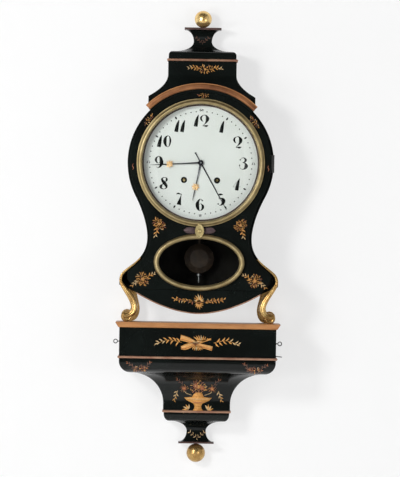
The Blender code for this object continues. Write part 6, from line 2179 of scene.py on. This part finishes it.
LAMPS = [
    ("key", (-1.6, -3.0, 1.1), (0.55, 0.55), 54.0),
    ("fill", (1.8, -3.0, -0.1), (0.7, 0.4), 13.0),
    ("low", (-1.8, -3.0, -0.1), (1.4, 0.4), 22.0),
    ("behind", (0.6, 2.4, 1.4), (1.6, 1.6), 40.0),
]
PALE_WALL = Finish(
    "pale_wall", "", (0.90, 0.90, 0.895), (0.89, 0.89, 0.885), (0.88, 0.88, 0.87),
    0.0, 0.0, (0.8, 0.9), scale=2.0,
)
DRAPE = Finish(
    "dark_drape", "", (0.004, 0.004, 0.004), (0.003, 0.003, 0.003), (0.005, 0.005, 0.005),
    0.0, 0.0, (0.9, 1.0),
)


@dataclass
class Stage:
    """A pale wall and floor, soft studio light and the camera."""

    wall_at: float = 0.0015
    floor_at: float = -1.25
    wall_half: float = 4.0
    distance: float = 12.0
    front_at: float = 0.15
    view_end: float = 50.0
    frame_height: float = 1.0688
    middle: Point = (0.0012, 0.2332)
    roll: float = radians(-1.0)
    dark_side: Point = (3.4, -13.5)
    drape_back: float = 2.0
    white_share: float = 0.66
    aim: float = 0.23
    surround: tuple[float, float, float, float] = (0.97, 0.98, 1.0, 1.0)
    surround_strength: float = 0.56

    def build(self) -> None:
        """Builds the whole stage."""
        wall = Shape()
        half = self.wall_half
        corners = [(-half, self.floor_at), (half, self.floor_at), (half, half), (-half, half)]
        wall.face(Vector((x, self.wall_at, z)) for x, z in corners)
        back = wall.done("wall", closed=False)
        back.data.materials.append(self.see_through(self.whitened(PALE_WALL.material())))
        floor = Shape()
        depth = [(-half, -half), (half, -half), (half, half), (-half, half)]
        floor.face(Vector((x, y, self.floor_at)) for x, y in depth)
        ground = floor.done("floor", closed=False)
        ground.data.materials.append(back.data.materials[0])
        dark = Shape()
        reach, depth_at = self.dark_side
        behind = self.drape_back
        frame = [(-reach, -reach), (-reach, reach), (reach, reach), (reach, -reach)]
        dark.face(Vector((x, depth_at, self.middle[1] + z)) for x, z in frame)
        overhead = [(-reach, depth_at), (reach, depth_at), (reach, behind), (-reach, behind)]
        dark.face(Vector((x, y, self.middle[1] + reach)) for x, y in overhead)
        drape = dark.done("dark_side_of_room", closed=False)
        drape.data.materials.append(self.hidden(DRAPE.material()))
        self.lights()
        self.camera()

    def whitened(self, plain: Material) -> Material:
        """Mixes plain white into what the eye, metal and glass see of a finish.

        Args:
            plain: The finish.

        Returns:
            The same material.
        """
        tree = plain.node_tree
        path = tree.nodes.new("ShaderNodeLightPath").outputs
        seen = arithmetic(tree, "MAXIMUM", path["Is Camera Ray"], path["Is Glossy Ray"])
        seen = arithmetic(tree, "MAXIMUM", seen, path["Is Transmission Ray"])
        share = arithmetic(tree, "MULTIPLY", seen, self.white_share)
        white = tree.nodes.new("ShaderNodeEmission")
        shader = tree.nodes["Principled BSDF"]
        blend_shaders(tree, share, shader.outputs["BSDF"], white.outputs["Emission"])
        return plain

    def see_through(self, plain: Material) -> Material:
        """A wall finish that lets views from behind pass."""
        sides = plain.node_tree.nodes.new("ShaderNodeNewGeometry")
        return self.cleared(plain, sides.outputs["Backfacing"])

    def hidden(self, plain: Material) -> Material:
        """A finish that no camera sees, so that only the polish mirrors it."""
        light = plain.node_tree.nodes.new("ShaderNodeLightPath")
        return self.cleared(plain, light.outputs["Is Camera Ray"])

    def cleared(self, made: Material, where: Socket) -> Material:
        """Makes a finish clear where a mask is one.

        Args:
            made: The finish.
            where: The mask.

        Returns:
            The same material.
        """
        tree = made.node_tree
        surface = tree.nodes["Material Output"].inputs["Surface"]
        clear = tree.nodes.new("ShaderNodeBsdfTransparent")
        blend_shaders(tree, where, surface.links[0].from_socket, clear.outputs["BSDF"])
        return made

    def lamp(self, name: str, place: Vector, size: Point, power: float) -> None:
        """A soft lamp that faces the clock.

        Args:
            name: Name of the lamp.
            place: Where it hangs.
            size: Width and height of its panel.
            power: Its power in watts.
        """
        light = bpy.data.lights.new(name, "AREA")
        light.shape = "RECTANGLE"
        light.size, light.size_y = size
        light.energy = power
        lamp = bpy.data.objects.new(name, light)
        lamp.location = place
        aim = Vector((0, 0, self.aim)) - place
        lamp.rotation_euler = aim.to_track_quat("-Z", "Y").to_euler()
        bpy.context.scene.collection.objects.link(lamp)

    def lights(self) -> None:
        """The soft lamps and an even surround."""
        for name, place, size, power in LAMPS:
            self.lamp(name, Vector(place), size, power)
        world = bpy.data.worlds.new("surround")
        bpy.context.scene.world = world
        world.use_nodes = True
        shade = world.node_tree.nodes["Background"]
        set_inputs(shade, {"Color": self.surround, "Strength": self.surround_strength})

    def camera(self) -> None:
        """The camera at the photograph's viewing angle, with its slight roll."""
        lens = bpy.data.cameras.new("camera")
        lens.sensor_width = 36.0
        plane = self.distance - self.front_at
        lens.lens = lens.sensor_width * plane / self.frame_height
        lens.clip_end = self.view_end
        eye = bpy.data.objects.new("camera", lens)
        eye.location = (self.middle[0], -self.distance, self.middle[1])
        eye.rotation_euler = (pi / 2, self.roll, 0.0)
        bpy.context.scene.collection.objects.link(eye)
        bpy.context.scene.camera = eye


PENDULUM_DEPTH = 0.040
NUT_PROFILE = [
    (0.0, 0.1335), (0.0019, 0.1337), (0.0019, 0.1485), (0.0054, 0.1487), (0.0054, 0.1532), (0.0019, 0.1534),
    (0.0, 0.1536),
]
KEPT_SOLIDS = {
    BRASS: (
        "music_frame", "music_barrel", "music_cylinder", "music_fly", "front_plate", "back_plate",
        "third_wheel", "escape_wheel", "going_barrel", "minute_wheel", "hour_wheel", "strike_barrel",
        "strike_wheel", "strike_fly",
    ),
    STEEL: ("hammer_bass", "hammer_treble", "music_lever", "centre_arbor", "strike_hammer", "anchor"),
    BLACK_IRON: ("screw_eye_left", "screw_eye_right"),
    BELL_METAL: ("bell_nest", "bell"),
    # The pendulum's bob takes the darkened brass: painted shade.
    SHADED_BOB: ("pendulum",),
}


def build_rating_nut() -> None:
    """The bright nut and thread under the pendulum bob."""
    nut = Shape()
    nut.lathe(NUT_PROFILE, Axis.Z, Vector((0, -PENDULUM_DEPTH, 0)), 32)
    dress(nut.done("rating_nut_fine"), STEEL, "swinging_pendulum")


def main() -> None:
    """Builds the clock and its stage, piece by piece."""
    logging.basicConfig(level=logging.INFO, format="%(message)s")
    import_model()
    scene = bpy.context.scene
    scene.view_settings.view_transform = "Standard"
    case = Case()
    bracket = Bracket()
    hood = Hood()
    bracket.build()
    hood.build()
    case.build()
    Door().build(case)
    Dial().build()
    Hands().build()
    Decoration(bracket, hood).build()
    for finish, nodes in KEPT_SOLIDS.items():
        for node in nodes:
            dress_solid(node, finish)
    build_rating_nut()
    Stage().build()


if __name__ == "__main__":
    main()
